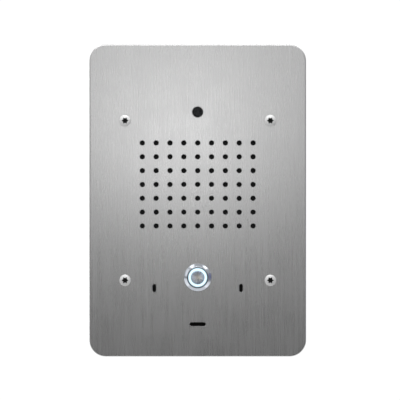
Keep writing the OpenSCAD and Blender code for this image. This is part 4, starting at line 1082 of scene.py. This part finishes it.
def soft_parts():
    turns = [math.radians(9 * k) for k in range(21)]
    front, back, middle, inner_r, outer_r = 5.02, 5.58, 22.55, 1.77, 2.33
    profile = [(28.35, front), (28.35, back), (24.3, back)]
    profile += [(middle + inner_r * math.cos(a), back - inner_r * math.sin(a)) for a in turns]
    profile += [(19.05, back), (19.05, front), (20.2, front)]
    profile += [(middle - outer_r * math.cos(a), back - outer_r * math.sin(a)) for a in turns[1:-1]]
    profile += [(24.9, front)]
    sectors("surround_roll", "speaker_surround", "black_rubber", profile, 24.6, 20.6)
    face = [(7.33 + (15.6 - 7.33) * i / 40, 14.4 + 0.35 * math.sin(TAU * 4 * i / 40)) for i in range(41)]
    profile = face + [(16.55, 14.4), (16.55, 15.98), (15.62, 15.98)]
    profile += [(r, y + 0.35) for r, y in reversed(face)]
    sectors("spider_waves", "speaker_spider", "spider_cloth", profile, 15.2, 7.8)
    route = [(0, 19.02, CAMERA_Z), (0, 20.5, CAMERA_Z), (0, 22, CAMERA_Z), (-2, 25.6, 56), (-7, 28.6, 51)]
    route += [(-14, 30.5, 44), (-21, 31, 37.5), (-25.6, 30, 34)]
    route += [(-27, 28, 33), (-27, 26.6, 33), (-27, 25.2, 33)]
    piece = Piece().put(tube(smooth(route, 8), 1.46, 20))
    sheath = piece.make("camera_lead_sheath", "camera", ["black_wire"], ["camera_lead"], ride=False)
    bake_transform(sheath)


soft_parts()
call_button()
fixings()
chips()
capacitors()
connectors_and_jack()
trimmer_marks()
board_print()
leads()


# --- Everything else keeps its CAD shape, with broken edges and its own finish
# Bevel widths in millimetres
USUAL_BEVEL = 0.12
BEVEL = {
    "rim_gasket": 0.25, "speaker_gasket": 0.2, "speaker_carrier": 0.25, "camera_housing": 0.35,
    "camera_back_cover": 0.35, "relay": 0.45, "network_jack": 0.2, "button_actuator": 0.05,
    "main_board": 0.06, "speaker_mesh": 0, "camera_window": 0.1, "camera_lens": 0.05,
    "light_guides": 0.1, "speaker_cone": 0,
}
# The actuator takes the painted-shade finish in place of its own
OWN_FINISH = {"button_actuator": "actuator_painted_shade"}


def broken_edges(obj, width):
    """Breaks the sharp edges of a CAD node, and keeps its flat faces flat."""
    weld = obj.modifiers.new("weld", "WELD")
    weld.merge_threshold = 1e-6
    flat = obj.modifiers.new("flat", "DECIMATE")
    flat.decimate_type = "DISSOLVE"
    flat.angle_limit = math.radians(0.4)
    edge = obj.modifiers.new("edge", "BEVEL")
    edge.width = width * MM
    edge.segments = 2
    edge.limit_method = "ANGLE"
    edge.angle_limit = math.radians(40)
    edge.use_clamp_overlap = False
    edge.miter_outer = "MITER_ARC"
    normals = obj.modifiers.new("normals", "WEIGHTED_NORMAL")
    normals.weight = 100
    normals.keep_sharp = False


for part in frame["record"]["subparts"]:
    node = frame["nodes"][part["node"]]
    node.data.materials.clear()
    node.data.materials.append(FINISHES[OWN_FINISH.get(part["node"], part["material_slot"])])
    width = BEVEL.get(part["node"], USUAL_BEVEL)
    if width and not node.hide_render:
        broken_edges(node, width)
